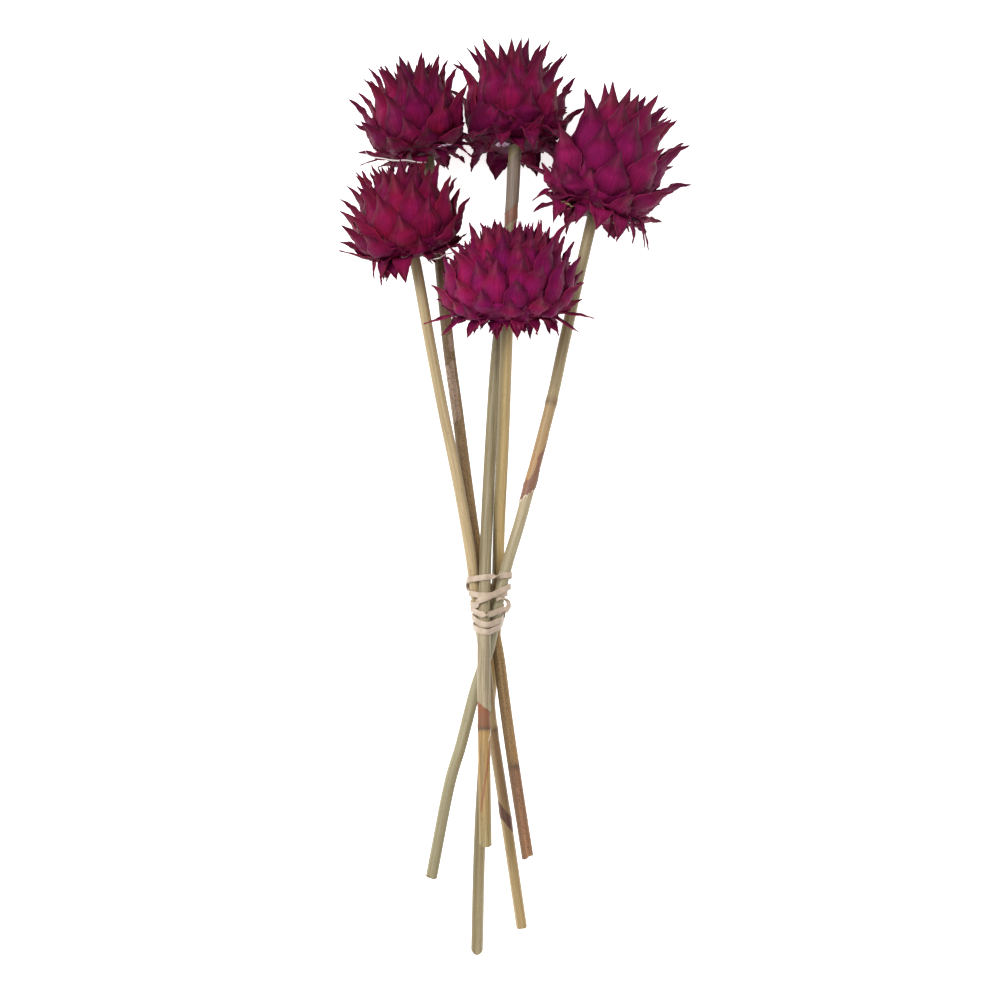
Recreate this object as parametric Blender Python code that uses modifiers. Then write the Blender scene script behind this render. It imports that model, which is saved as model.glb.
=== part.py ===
"""A bunch of five dried, dyed artichoke heads on cut reed stems, tied with a rubber band.

The bunch lies on a level surface. Metres, +Z up: the heads point along +Y and the cut ends along -Y.
The origin is on the surface, under the middle of the bunch.
"""

import math
import random
from dataclasses import dataclass

import bmesh
import bpy
from mathutils import Matrix, Vector

MM = 0.001
TINY = 1e-6
GAP = 0.3 * MM                          # left between two pieces that touch
MIDDLE = Vector((8.65, -1.0, 0.0)) * MM  # middle of the bunch, in the frame that the places below use

# Bracts: what every head's scales share.
GOLDEN_ANGLE = math.radians(137.508)
BASE_POLAR = math.radians(162)          # where the core ends at the stem, as an angle from the tip
FIRST_POLAR = math.radians(158)         # root of the lowest bract
LAST_POLAR = math.radians(14)           # root of the innermost bract
SHOULDER = 2.7                          # exponent of the core's upper outline, where 2 is an ellipse
NEAR_AXIS = 0.01                        # share of the core's radius that counts as on the axis
LAYER = 3.5 * MM                        # from the bracts' roots to the closed bracts' surface
CORE_INSET = 2.2 * MM                   # from the level that the roots spring from down to the core
ROOT_DEPTH = 3.2 * MM                   # how far a bract's root is sunk from that level
MOST_INWARD = math.radians(-14)         # furthest that a bract leans in towards the axis
TURN_SHARE = 0.30                       # share of a bract's length over which its tip turns away
STATIONS = (0.0, 0.34, 0.52, 0.69, 1.0)  # root, widest stretch, shoulder, tip, as shares of the length
HALF_WIDTHS = (0.72, 1.0, 0.90, 0.38, 0.0)  # half-width there, as a share of the widest
CROWDING = 1.1                          # how much closer small bracts stand than large ones
ARCH = 0.30                             # height of the keel over the edges, as a share of the half-width
STEPS = 14                              # steps in which a bract's midline is worked out
POLAR_STEPS = 240                       # steps in which the spiral's rows are spaced
AZIMUTH_CHANCE = 0.06                   # radians either way that a bract is off its place in the spiral
SWAY_CHANCE = 0.08                      # sideways curve either way, as a share of the length
OPENING_CHANCE = 0.10                   # radians either way that a tip is opened
CORE_SEGMENTS = 12
CORE_RINGS = 9
BRACT_ROUGHNESS = 0.6
# Polar angle of the root, heading of the tip from the head's axis, length and half-width as shares of
# the head's largest bract, the share of the length that hugs the core, and how steeply it leaves the
# core. Angles are in degrees.
BY_ROW = (
    (0, 2, 0.62, 0.50, 0.30, 10),
    (25, 9, 0.72, 0.60, 0.35, 11),
    (45, 15, 0.86, 0.78, 0.40, 12),
    (65, 22, 0.97, 0.94, 0.42, 12),
    (85, 30, 1.00, 1.00, 0.44, 13),
    (105, 40, 0.90, 0.96, 0.44, 17),
    (120, 56, 0.80, 0.82, 0.40, 22),
    (132, 84, 0.70, 0.68, 0.24, 26),
    (144, 122, 0.62, 0.58, 0.06, 28),
    (158, 160, 0.52, 0.52, 0.0, 30),
)
CLOSING = tuple(math.radians(angle) for angle in (0, 8, 16, 24, 34, 46))  # tried to bend a bract clear
SHORTENING = (1.0, 0.88, 0.76, 0.64)

# Stems
ROUTE_POINTS = 120                      # points read from the smooth curve of a stem
ROUTE_SUBSTEPS = 12                     # between two of the route's own points
TUBE_RINGS = 18                         # rings along a stem, besides those at its nodes
CLEAR_OF_SWELLING = 0.8                 # of a swelling's length, kept free of other rings
TIE_RINGS = (-46.0, -58.0, -70.0, -80.0)  # y in mm of the closer rings under the rubber band
TUBE_SIDES_SETTING = 2                  # gives eight sides
PITH_RADIUS = 1.5 * MM                  # soft core, open at the cut end
PITH_DEPTH = 7.0 * MM
PITH_SIDES = 6
SOCKET_SIDES = 8                        # of the hole that a stem stands in, in its head
SOCKET_LENGTH = 30 * MM                 # of the cutter that makes it
CLEAR_OF_STEM = 0.5 * MM                # between a bract and a stem that passes it
REED_ROUGHNESS = 0.55

# Rubber band
BAND_WIDTH = 3.4 * MM
BAND_THICKNESS = 1.0 * MM
BAND_GAP = 0.5 * MM                     # from the stems' widest line, as the tubes have flat sides
BAND_STEP = math.radians(22.5)
LAST_RIDE = 1.5                         # mm that the last turn stands off where it crosses the others
BAND_COLOUR = (0.52, 0.37, 0.27)
BAND_ROUGHNESS = 0.5

# Surface that the bunch lies on
FLOOR_SINK = 4.0 * MM                   # what it presses flat on the lowest bracts
FLOOR_CUTTER = Vector((400, 400, 20)) * MM
FLOOR_CUTTER_Y = 200 * MM


@dataclass
class Reed:
    """A cut stem: its route from the head to the cut end, and the swellings along it, all in mm."""

    name: str
    colour: tuple
    radius: float
    route: tuple
    swellings: tuple                    # (y of the middle, length, extra radius)


@dataclass
class Head:
    """A flower head on the first stretch of its reed, in mm and degrees."""

    name: str
    colour: tuple
    base: tuple                         # middle of the underside
    lean: float                         # of the axis, to the right of +Y seen from above
    pitch: float                        # of the tip, above level
    turn: float                         # of the first bract round the axis
    radius: float                       # over the closed bracts
    low: float                          # from the widest place down to the underside
    high: float                         # from the widest place up to the core's top
    bracts: int
    length: float                       # of the largest bract
    width: float
    spread: float                       # added to each tip's heading
    seed: int


@dataclass
class Wall:
    """The plane at which two neighbouring heads press on each other."""

    lower: str
    upper: str
    tilt: float                         # degrees that the upper one leans over the lower one


REEDS = {
    "left": Reed(
        "reed_left", (0.49, 0.36, 0.20), 3.25,
        ((-52.2, 148.5, 73.3), (-49.2, 137.5, 72.6), (-40.9, 91.3, 69.5), (-33.6, 53.1, 67.0),
         (-25.1, 11.8, 64.0), (-18.3, -26.6, 61.6), (-15.4, -47.4, 60.2), (-12.5, -68.2, 57.8),
         (-10.2, -86.1, 55.2), (-7.2, -110, 53.2), (-4.5, -136.3, 51.4), (2.1, -180.2, 47.6),
         (13.2, -257.1, 40.5)),
        ((-136.3, 5, 0.35), (-188, 16, 0.25)),
    ),
    "upper_left": Reed(
        "reed_upper_left", (0.26, 0.17, 0.10), 3.5,
        ((-44.5, 212, 36.6), (-43.2, 206, 37.0), (-36.5, 149.8, 41.3), (-30.8, 92.6, 45.4),
         (-25.1, 50.7, 48.4), (-20, 11.9, 50.7), (-14.9, -23.8, 52.6), (-10.8, -47.6, 53.6),
         (-5.8, -68.4, 54.0), (-0.9, -92.1, 54.8), (2.6, -118.7, 56.0), (7.6, -154.2, 58.0),
         (16.6, -212.5, 61.0)),
        ((-160, 5, 0.45),),
    ),
    "top": Reed(
        "reed_top", (0.36, 0.27, 0.15), 3.6,
        ((9.2, 217, 38.8), (8.9, 211, 39.0), (6.9, 172.1, 39.7), (3.0, 128.8, 41.5), (-2.1, 83.6, 46.0),
         (-5.9, 23.8, 54.2), (-8.3, -26.6, 61.7), (-9.0, -53.1, 65.8), (-9.3, -76.6, 69.4),
         (-9.4, -105.9, 72.6), (-9.4, -132.2, 74.8), (-8.4, -203.2, 84.0)),
        ((170, 10, 0.3), (-122, 8, 0.35), (-132.2, 5, 0.3)),
    ),
    "centre": Reed(
        "reed_centre", (0.45, 0.33, 0.17), 3.4,
        ((4.4, 110, 83.0), (4.4, 105.2, 82.0), (3.5, 70.5, 74.5), (2.1, 29.5, 65.6), (0.3, -11.9, 56.8),
         (-1.2, -44.7, 49.6), (-2.1, -62.7, 46.2), (-3.3, -83.8, 42.4), (-5.7, -114.1, 36.6),
         (-9.7, -160.1, 27.0), (-12.5, -212.9, 16.0), (-14.1, -277.6, 3.35)),
        ((-90, 5, 0.3),),
    ),
    "right": Reed(
        "reed_right", (0.40, 0.31, 0.18), 3.4,
        ((57.4, 177, 40.5), (53.3, 159.8, 41.8), (46, 128.4, 45.6), (37.3, 89.4, 49.5), (30.6, 58.3, 52.2),
         (20.8, 20.8, 55.3), (12.2, -11.9, 58.0), (5.0, -35.5, 60.0), (1.2, -50.3, 61.2),
         (-2.7, -68, 62.4), (-6.8, -88.7, 63.0), (-14.8, -112.3, 63.8), (-24.2, -144.6, 65.6),
         (-30.1, -169.2, 68.0), (-40.5, -222.7, 73.0)),
        ((58.3, 5, 0.3), (12, 12, 0.35)),
    ),
}

HEADS = {
    "left": Head("head_left", (0.14, 0.009, 0.036), (-50.9, 140, 73.0), -10, 4, 20,
                 32.5, 13, 24, 60, 35, 8.8, -4, 11),
    "upper_left": Head("head_upper_left", (0.13, 0.007, 0.036), (-45.5, 203, 36.8), -10, -4, 75,
                       32.0, 13, 27, 58, 35, 8.8, 2, 23),
    "top": Head("head_top", (0.11, 0.006, 0.027), (8.9, 210, 39.0), -3, -16, 140,
                33.5, 13, 27, 62, 38, 8.6, 8, 37),
    "centre": Head("head_centre", (0.16, 0.011, 0.047), (4.6, 103, 82.6), 2, 8, 50,
                   41.5, 13, 27, 80, 34, 9.2, -2, 41),
    "right": Head("head_right", (0.15, 0.011, 0.050), (54.8, 168.5, 41.2), 16, -4, 10,
                  36.5, 17, 36, 58, 43, 11.0, 4, 59),
}

WALLS = (
    Wall("top", "upper_left", 30),
    Wall("top", "right", 25),
    Wall("left", "centre", 12),
    Wall("upper_left", "left", 28),
)

# Strands of the rubber band on the side that faces up: y at the left edge, in the middle and at the
# right edge, in mm, and how far the strand rides over the one before it.
BAND_STRANDS = (
    ((-47.2, -45.6, -44.2), 0.0),
    ((-55.6, -56.0, -57.4), 0.0),
    ((-62.2, -55.0, -51.8), 1.4),
    ((-64.0, -68.8, -63.2), 0.0),
    ((-69.4, -75.0, -68.8), 0.0),
    ((-74.8, -79.4, -73.0), 0.0),
)


def place(point_mm):
    """A place given in mm, in the model's own frame in metres."""
    return Vector(point_mm) * MM - MIDDLE


def smooth_route(points, count):
    """Points at even distances along one smooth curve through the given ones."""
    ends = [points[0] * 2 - points[1], *points, points[-1] * 2 - points[-2]]
    fine = []
    for a, b, c, d in zip(ends, ends[1:], ends[2:], ends[3:]):
        for step in range(ROUTE_SUBSTEPS):
            t = step / ROUTE_SUBSTEPS
            square = (a * 2 - b * 5 + c * 4 - d) * t**2
            cube = (b * 3 - a - c * 3 + d) * t**3
            fine.append((b * 2 + (c - a) * t + square + cube) / 2)
    fine.append(points[-1])
    reached = [0.0]
    for a, b in zip(fine, fine[1:]):
        reached.append(reached[-1] + (b - a).length)
    out = []
    at = 0
    for index in range(count):
        wanted = reached[-1] * index / (count - 1)
        while at < len(fine) - 2 and reached[at + 1] < wanted:
            at += 1
        share = (wanted - reached[at]) / (reached[at + 1] - reached[at])
        out.append(fine[at].lerp(fine[at + 1], min(1.0, share)))
    return out


def between(table, x):
    """The row of a table at x, worked out on straight lines between its rows."""
    for low, high in zip(table, table[1:]):
        if x <= high[0]:
            share = (x - low[0]) / (high[0] - low[0])
            return [a + (b - a) * share for a, b in zip(low[1:], high[1:])]
    return list(table[-1][1:])


def material(name, colour, roughness):
    """A plain finish."""
    made = bpy.data.materials.new(name)
    made.use_nodes = True
    shader = made.node_tree.nodes["Principled BSDF"]
    shader.inputs["Base Color"].default_value = (*colour, 1)
    shader.inputs["Roughness"].default_value = roughness
    shader.inputs["Metallic"].default_value = 0
    return made


def object_of(bm, name, collection):
    """A new object that holds a finished bmesh."""
    mesh = bpy.data.meshes.new(name)
    bmesh.ops.recalc_face_normals(bm, faces=bm.faces)
    if bm.calc_volume(signed=True) < 0:
        bmesh.ops.reverse_faces(bm, faces=bm.faces)
    bm.to_mesh(mesh)
    bm.free()
    made = bpy.data.objects.new(name, mesh)
    collection.objects.link(made)
    return made


def apply_modifiers(obj):
    """Puts what the modifiers make into the object's own mesh."""
    bpy.context.view_layer.update()
    graph = bpy.context.evaluated_depsgraph_get()
    old = obj.data
    obj.data = bpy.data.meshes.new_from_object(obj.evaluated_get(graph))
    obj.data.name = obj.name
    obj.modifiers.clear()
    bpy.data.meshes.remove(old)


def remove(objects):
    """Deletes helper objects and their meshes."""
    for obj in list(objects):
        mesh = obj.data
        bpy.data.objects.remove(obj)
        bpy.data.meshes.remove(mesh)


def keep_largest_shell(obj):
    """Drops loose scraps and fills hollows that joining has sealed, by keeping only the largest shell."""
    bm = bmesh.new()
    bm.from_mesh(obj.data)
    waiting = set(bm.faces)
    shells = []
    while waiting:
        shell = {waiting.pop()}
        edge_of_shell = list(shell)
        while edge_of_shell:
            face = edge_of_shell.pop()
            near = {other for edge in face.edges for other in edge.link_faces} & waiting
            waiting -= near
            shell |= near
            edge_of_shell += near
        shells.append(shell)
    largest = max(shells, key=len)
    bmesh.ops.delete(bm, geom=[face for face in bm.faces if face not in largest], context="FACES")
    bm.to_mesh(obj.data)
    bm.free()


def cut(obj, cutter):
    """Takes the cutter's shape out of the object and deletes the cutter."""
    boolean = obj.modifiers.new("cut", "BOOLEAN")
    boolean.operation = "DIFFERENCE"
    boolean.object = cutter
    apply_modifiers(obj)
    remove([cutter])


def rod(name, start, end, radius, sides, collection):
    """A straight cylinder from one point to another, as a cutter."""
    bm = bmesh.new()
    along = end - start
    turn = along.to_track_quat("Z", "Y").to_matrix().to_4x4()
    bmesh.ops.create_cone(
        bm, cap_ends=True, segments=sides, radius1=radius, radius2=radius, depth=along.length,
        matrix=Matrix.Translation((start + end) / 2) @ turn,
    )
    made = object_of(bm, name, collection)
    made.display_type = "WIRE"
    made.hide_render = True
    return made


class Stem:
    """The smooth centre line of a reed, and the solid tube round it."""

    def __init__(self, reed):
        self.reed = reed
        self.radius = reed.radius * MM
        self.points = smooth_route([place(point) for point in reed.route], ROUTE_POINTS)

    def centre_at(self, y):
        """Where the centre line passes this y."""
        for a, b in zip(self.points, self.points[1:]):
            if b.y <= y:
                return a.lerp(b, (a.y - y) / (a.y - b.y))
        return self.points[-1]

    def distance(self, point):
        """From a point to the centre line."""
        return min((point - on_line).length for on_line in self.points)

    def build(self, collection, cutters):
        """The tube, its swollen nodes and sheath ends, and the open pith at the cut end."""
        reed = self.reed
        first = self.points[0]
        end = self.points[-1]
        rings = [(first.y + (end.y - first.y) * i / (TUBE_RINGS - 1), 0.0) for i in range(TUBE_RINGS)]
        rings += [(y * MM - MIDDLE.y, 0.0) for y in TIE_RINGS]
        for middle, length, extra in reed.swellings:
            centre_y = middle * MM - MIDDLE.y
            rings = [ring for ring in rings if abs(ring[0] - centre_y) > CLEAR_OF_SWELLING * length * MM]
            half = length / 2 * MM
            rings += [(centre_y - half, 0.0), (centre_y, extra * MM), (centre_y + half, 0.0)]
        rings.sort(reverse=True)
        curve = bpy.data.curves.new(reed.name, "CURVE")
        curve.dimensions = "3D"
        curve.bevel_depth = self.radius
        curve.bevel_resolution = TUBE_SIDES_SETTING
        curve.use_fill_caps = True
        spline = curve.splines.new("POLY")
        spline.points.add(len(rings) - 1)
        for point, (y, extra) in zip(spline.points, rings):
            at = self.centre_at(y)
            point.co = (at.x, at.y, at.z, 1)
            point.radius = 1 + extra / self.radius
        guide = bpy.data.objects.new(reed.name + "_curve", curve)
        collection.objects.link(guide)
        bpy.context.view_layer.update()
        mesh = bpy.data.meshes.new_from_object(guide.evaluated_get(bpy.context.evaluated_depsgraph_get()))
        bm = bmesh.new()
        bm.from_mesh(mesh)
        bmesh.ops.remove_doubles(bm, verts=bm.verts, dist=TINY)
        bpy.data.meshes.remove(mesh)
        tube = object_of(bm, reed.name, collection)
        bpy.data.objects.remove(guide)
        bpy.data.curves.remove(curve)
        inward = (self.centre_at(end.y + PITH_DEPTH) - end).normalized()
        pith = rod("pith", end - inward * MM, end + inward * PITH_DEPTH, PITH_RADIUS, PITH_SIDES, cutters)
        cut(tube, pith)
        tube.data.materials.clear()
        tube.data.materials.append(material(reed.name, reed.colour, REED_ROUGHNESS))
        return tube


class Bloom:
    """A head: a squat core that carries overlapping bracts on a golden-angle spiral."""

    def __init__(self, head):
        self.head = head
        self.radius = head.radius * MM
        self.core_radius = self.radius - LAYER
        self.low = head.low * MM / -math.cos(BASE_POLAR)
        self.high = head.high * MM
        self.widest = head.low * MM
        self.base = place(head.base)
        lean = math.radians(head.lean)
        pitch = math.radians(head.pitch)
        self.axis = Vector((
            math.sin(lean) * math.cos(pitch), math.cos(lean) * math.cos(pitch), math.sin(pitch),
        ))
        self.right = self.axis.cross(Vector((0, 0, 1))).normalized()
        self.up = self.right.cross(self.axis)
        self.middle = self.base + self.axis * self.widest
        self.walls = []

    def core_point(self, polar):
        """Distance from the axis and along it, on the core's surface."""
        out = math.sin(polar)
        along = math.cos(polar)
        if along < 0:
            return self.core_radius * out, self.widest + self.low * along
        power = 2 / SHOULDER
        return self.core_radius * out**power, self.widest + self.high * along**power

    def surface_heading(self, out, along):
        """Heading from the axis of the core's surface, towards the tip, level with a point near it."""
        out = max(out / self.core_radius, NEAR_AXIS)
        if along < self.widest:
            along = (along - self.widest) / self.low
            return math.atan2(-self.core_radius * along, self.low * out)
        along = (along - self.widest) / self.high
        power = SHOULDER - 1
        return math.atan2(-self.core_radius * along**power, self.high * out**power)

    def midline(self, polar, length, tip_heading, hug_share, lift):
        """Places (out, along, heading) at even steps from a bract's root to its tip."""
        out, along = self.core_point(polar)
        heading = self.surface_heading(out, along)
        out -= ROOT_DEPTH * math.cos(heading)
        along += ROOT_DEPTH * math.sin(heading)
        line = []
        for step in range(STEPS + 1):
            share = step / STEPS
            hug = max(self.surface_heading(out, along) + lift, MOST_INWARD)
            off = min(1.0, max(0.0, (share - hug_share) / TURN_SHARE))
            off = off * off * (3 - 2 * off)
            heading = hug + (tip_heading - hug) * off
            line.append((out, along, heading))
            out += length / STEPS * math.sin(heading)
            along += length / STEPS * math.cos(heading)
        return line

    def outline(self, polar, azimuth, closing, shorter, sway):
        """For each station the left edge, the keel and the right edge of one bract."""
        heading, length_share, width_share, hug_share, lift = between(BY_ROW, math.degrees(polar))
        length = self.head.length * MM * length_share * shorter
        half_width = self.head.width * MM * width_share
        tip_heading = math.radians(heading + self.head.spread) - closing
        line = self.midline(polar, length, tip_heading, hug_share, math.radians(lift))
        outward = self.right * math.cos(azimuth) + self.up * math.sin(azimuth)
        sideways = self.axis.cross(outward)
        rows = []
        for station, share in zip(STATIONS, HALF_WIDTHS):
            out, along, heading = line[round(station * STEPS)]
            middle = self.base + outward * out + self.axis * along
            middle += sideways * sway * length * station**2
            normal = outward * math.cos(heading) - self.axis * math.sin(heading)
            width = half_width * share
            edge = middle - normal * ARCH * width
            rows.append((edge - sideways * width, middle, edge + sideways * width))
        return rows

    def fits(self, rows, stems, floor):
        """Whether a bract clears the surface, the neighbouring heads and every stem."""
        points = [point for row in rows for point in row]
        points += [a.lerp(b, 0.5) for low, high in zip(rows, rows[1:]) for a, b in zip(low, high)]
        if min(point.z for point in points) < floor:
            return False
        for at, normal in self.walls:
            if max((point - at).dot(normal) for point in points) > -GAP:
                return False
        for stem in stems:
            if min(stem.distance(point) for point in points) < stem.radius + CLEAR_OF_STEM:
                return False
        return True

    def roots(self):
        """The polar angle of each bract's root, close together where the bracts are small."""
        reached = [0.0]
        span = LAST_POLAR - FIRST_POLAR
        polars = [FIRST_POLAR + span * i / POLAR_STEPS for i in range(POLAR_STEPS + 1)]
        for a, b in zip(polars, polars[1:]):
            polar = (a + b) / 2
            out_a, along_a = self.core_point(a)
            out_b, along_b = self.core_point(b)
            width_share = between(BY_ROW, math.degrees(polar))[2]
            area = self.core_point(polar)[0] * math.hypot(out_b - out_a, along_b - along_a)
            reached.append(reached[-1] + area / width_share**CROWDING)
        found = []
        for index in range(self.head.bracts):
            wanted = reached[-1] * (index + 0.5) / self.head.bracts
            at = next(i for i, value in enumerate(reached) if value >= wanted)
            found.append(polars[at])
        return found

    def bract(self, rows, name, collection):
        """One bract: a three-sided spike, cut at the stations, with its corners moved to their places."""
        bm = bmesh.new()
        upright = Matrix.Translation((0, 0, 0.5))
        bmesh.ops.create_cone(bm, cap_ends=True, segments=3, radius1=1, radius2=0, depth=1, matrix=upright)
        for station in STATIONS[1:-1]:
            bmesh.ops.bisect_plane(
                bm, geom=[*bm.verts, *bm.edges, *bm.faces], plane_co=(0, 0, station), plane_no=(0, 0, 1)
            )
        corners = sorted((v for v in bm.verts if v.co.z < TINY), key=lambda v: math.atan2(v.co.y, v.co.x))
        directions = [Vector((v.co.x, v.co.y)).normalized() for v in corners]
        for vert in bm.verts:
            row = min(range(len(STATIONS)), key=lambda i: abs(STATIONS[i] - vert.co.z))
            flat = Vector((vert.co.x, vert.co.y))
            column = 1 if flat.length < TINY else max(range(3), key=lambda i: directions[i].dot(flat))
            vert.co = rows[row][column]
        return object_of(bm, name, collection)

    def core(self, collection):
        """The solid middle: a globe drawn in below to the core's own height, and given shoulders above."""
        bm = bmesh.new()
        bmesh.ops.create_uvsphere(bm, u_segments=CORE_SEGMENTS, v_segments=CORE_RINGS, radius=1)
        lowest = math.cos(BASE_POLAR)
        power = 2 / SHOULDER
        for vert in bm.verts:
            along = max(vert.co.z, lowest)
            half = (self.high if along > 0 else self.low) - CORE_INSET
            across = vert.co.xy * (self.core_radius - CORE_INSET)
            if along > 0:
                along = along**power
                across *= max(vert.co.xy.length, NEAR_AXIS) ** (power - 1)
            vert.co = (
                self.base + self.right * across.x + self.up * across.y
                + self.axis * (self.widest + half * along)
            )
        return object_of(bm, self.head.name, collection)

    def build(self, stems, own_stem, collection, cutters, bracts):
        """Core and bracts made one solid, with the hole for the stem and the spot that it rests on."""
        chance = random.Random(self.head.seed)
        solid = self.core(collection)
        for index, polar in enumerate(self.roots()):
            azimuth = math.radians(self.head.turn) + index * GOLDEN_ANGLE
            azimuth += chance.uniform(-AZIMUTH_CHANCE, AZIMUTH_CHANCE)
            sway = chance.uniform(-SWAY_CHANCE, SWAY_CHANCE)
            opening = chance.uniform(-OPENING_CHANCE, OPENING_CHANCE)
            rows = self.clear_bract(polar, azimuth, opening, sway, stems)
            if rows:
                self.bract(rows, f"bract_{index}", bracts)
        union = solid.modifiers.new("bracts", "BOOLEAN")
        union.operation = "UNION"
        union.operand_type = "COLLECTION"
        union.collection = bracts
        apply_modifiers(solid)
        remove(bracts.objects)
        keep_largest_shell(solid)
        inner = own_stem.points[0]
        outer = own_stem.centre_at(inner.y - SOCKET_LENGTH)
        along = (inner - outer).normalized()
        hole = own_stem.radius + GAP
        cut(solid, rod("socket", outer, inner + along * GAP, hole, SOCKET_SIDES, cutters))
        if min(vert.co.z for vert in solid.data.vertices) < 0:
            bm = bmesh.new()
            under = Matrix.Translation((0, FLOOR_CUTTER_Y, -FLOOR_CUTTER.z / 2))
            bmesh.ops.create_cube(bm, size=1, matrix=under @ Matrix.Diagonal(FLOOR_CUTTER.to_4d()))
            cut(solid, object_of(bm, "surface", cutters))
        solid.data.materials.clear()
        solid.data.materials.append(material(self.head.name, self.head.colour, BRACT_ROUGHNESS))
        return solid

    def clear_bract(self, polar, azimuth, opening, sway, stems):
        """The bract as it grows, or bent towards the axis and shortened until it is clear of the rest."""
        for closing in CLOSING:
            for shorter in SHORTENING:
                rows = self.outline(polar, azimuth, closing - opening, shorter, sway)
                if self.fits(rows, stems, -FLOOR_SINK):
                    return rows
        return None


def press_walls(blooms):
    """Sets the plane between each pair of heads that touch, a share of the way by their radii."""
    for wall in WALLS:
        lower = blooms[wall.lower]
        upper = blooms[wall.upper]
        across = lower.middle - upper.middle
        flat = Vector((across.x, across.y, 0)).normalized()
        tilt = math.radians(wall.tilt)
        normal = flat * math.cos(tilt) - Vector((0, 0, 1)) * math.sin(tilt)
        share = upper.radius / (upper.radius + lower.radius)
        at = upper.middle + across * share
        upper.walls.append((at, normal))
        lower.walls.append((at, -normal))


def band_section(stems, y, angle, over):
    """Where the band lies on the stems at this y, on the side that faces this way."""
    facing = Vector((math.cos(angle), 0, math.sin(angle)))
    reach = []
    for stem in stems:
        centre = stem.centre_at(y)
        reach.append((centre.dot(facing) + stem.radius, centre, stem.radius))
    _, centre, radius = max(reach, key=lambda entry: entry[0])
    return centre + facing * (radius + BAND_GAP + over)


def rubber_band(stems, collection):
    """One closed loop, wound six times round the stems, as a strip that is given its thickness."""
    turns = len(BAND_STRANDS)
    steps = round(math.pi / BAND_STEP)
    line = []
    for index, ((left, middle, right), over) in enumerate(BAND_STRANDS):
        following = BAND_STRANDS[(index + 1) % turns][0][0]
        last = index == turns - 1
        for step in range(2 * steps):
            share = step % steps / steps
            if step < steps:
                y = (1 - share) ** 2 * left + 2 * share * (1 - share) * (2 * middle - (left + right) / 2)
                y += share**2 * right
                ride = over * math.sin(math.pi * share)
            else:
                y = right + (following - right) * share
                ride = LAST_RIDE * math.sin(math.pi * share) ** 0.5 if last else 0.0
            angle = math.pi - step * BAND_STEP
            line.append((y * MM - MIDDLE.y, angle, ride * MM))
    bm = bmesh.new()
    bmesh.ops.create_grid(bm, x_segments=len(line), y_segments=1, size=1)
    columns = sorted({round(v.co.x, 5) for v in bm.verts})
    for vert in bm.verts:
        y, angle, ride = line[columns.index(round(vert.co.x, 5)) % len(line)]
        side = 1 if vert.co.y > 0 else -1
        vert.co = band_section(stems, y + side * BAND_WIDTH / 2, angle, ride)
    bmesh.ops.remove_doubles(bm, verts=bm.verts, dist=TINY)
    band = object_of(bm, "rubber_band", collection)
    thick = band.modifiers.new("thickness", "SOLIDIFY")
    thick.thickness = BAND_THICKNESS
    thick.offset = 1
    apply_modifiers(band)
    band.data.materials.clear()
    band.data.materials.append(material("rubber_band", BAND_COLOUR, BAND_ROUGHNESS))
    return band


def new_collection(name):
    """A collection in the scene."""
    made = bpy.data.collections.new(name)
    bpy.context.scene.collection.children.link(made)
    return made


def main():
    for obj in list(bpy.data.objects):
        bpy.data.objects.remove(obj)
    parts = new_collection("dried_artichoke_bunch")
    cutters = new_collection("cutters")
    bracts = new_collection("bracts")
    cutters.hide_render = True
    bracts.hide_render = True
    stems = {name: Stem(reed) for name, reed in REEDS.items()}
    blooms = {name: Bloom(head) for name, head in HEADS.items()}
    press_walls(blooms)
    for name, bloom in blooms.items():
        bloom.build(stems.values(), stems[name], parts, cutters, bracts)
    for stem in stems.values():
        stem.build(parts, cutters)
    rubber_band(list(stems.values()), parts)


main()
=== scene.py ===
"""Looks of five dried, dyed artichoke heads on cut reed stems, tied with a rubber band.

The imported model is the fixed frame. Each piece here stands for one of its nodes and grows from the same
dimensions, so it stays where its solid is. Metres, +Z up. The bunch lies on its side with the heads
towards +Y, and the camera looks straight down on it.
"""

import logging
import math
import random
from collections.abc import Callable, Sequence
from dataclasses import dataclass, field
from enum import Enum

import bpy
from mathutils import Matrix, Vector, noise

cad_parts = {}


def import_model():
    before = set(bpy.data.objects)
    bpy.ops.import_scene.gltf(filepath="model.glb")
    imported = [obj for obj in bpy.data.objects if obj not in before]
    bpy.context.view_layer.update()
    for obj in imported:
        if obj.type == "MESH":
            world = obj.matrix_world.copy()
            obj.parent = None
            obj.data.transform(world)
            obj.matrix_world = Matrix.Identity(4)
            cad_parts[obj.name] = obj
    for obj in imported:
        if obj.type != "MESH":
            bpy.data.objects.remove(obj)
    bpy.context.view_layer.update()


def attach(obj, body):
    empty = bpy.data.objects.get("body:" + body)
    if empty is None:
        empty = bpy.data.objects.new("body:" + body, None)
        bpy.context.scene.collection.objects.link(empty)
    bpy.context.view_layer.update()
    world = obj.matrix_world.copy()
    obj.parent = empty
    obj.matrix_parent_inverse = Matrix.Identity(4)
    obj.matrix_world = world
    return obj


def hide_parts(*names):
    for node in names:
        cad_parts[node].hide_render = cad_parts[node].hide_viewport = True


log = logging.getLogger("dried_artichoke_bunch")

MM = 0.001
TINY = 1e-6
MIDDLE = Vector((8.65, -1.0, 0.0)) * MM   # middle of the bunch, in the frame that the places below use
GAP = 0.3 * MM                            # left between two pieces that touch
GOLDEN_ANGLE = math.radians(137.508)


def place(point_mm: Sequence[float]) -> Vector:
    """Turns a place in mm into the frame's metres.

    Args:
        point_mm: the place, in the frame that the tables below use.

    Returns:
        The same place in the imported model's frame.
    """
    return Vector(point_mm) * MM - MIDDLE


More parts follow.
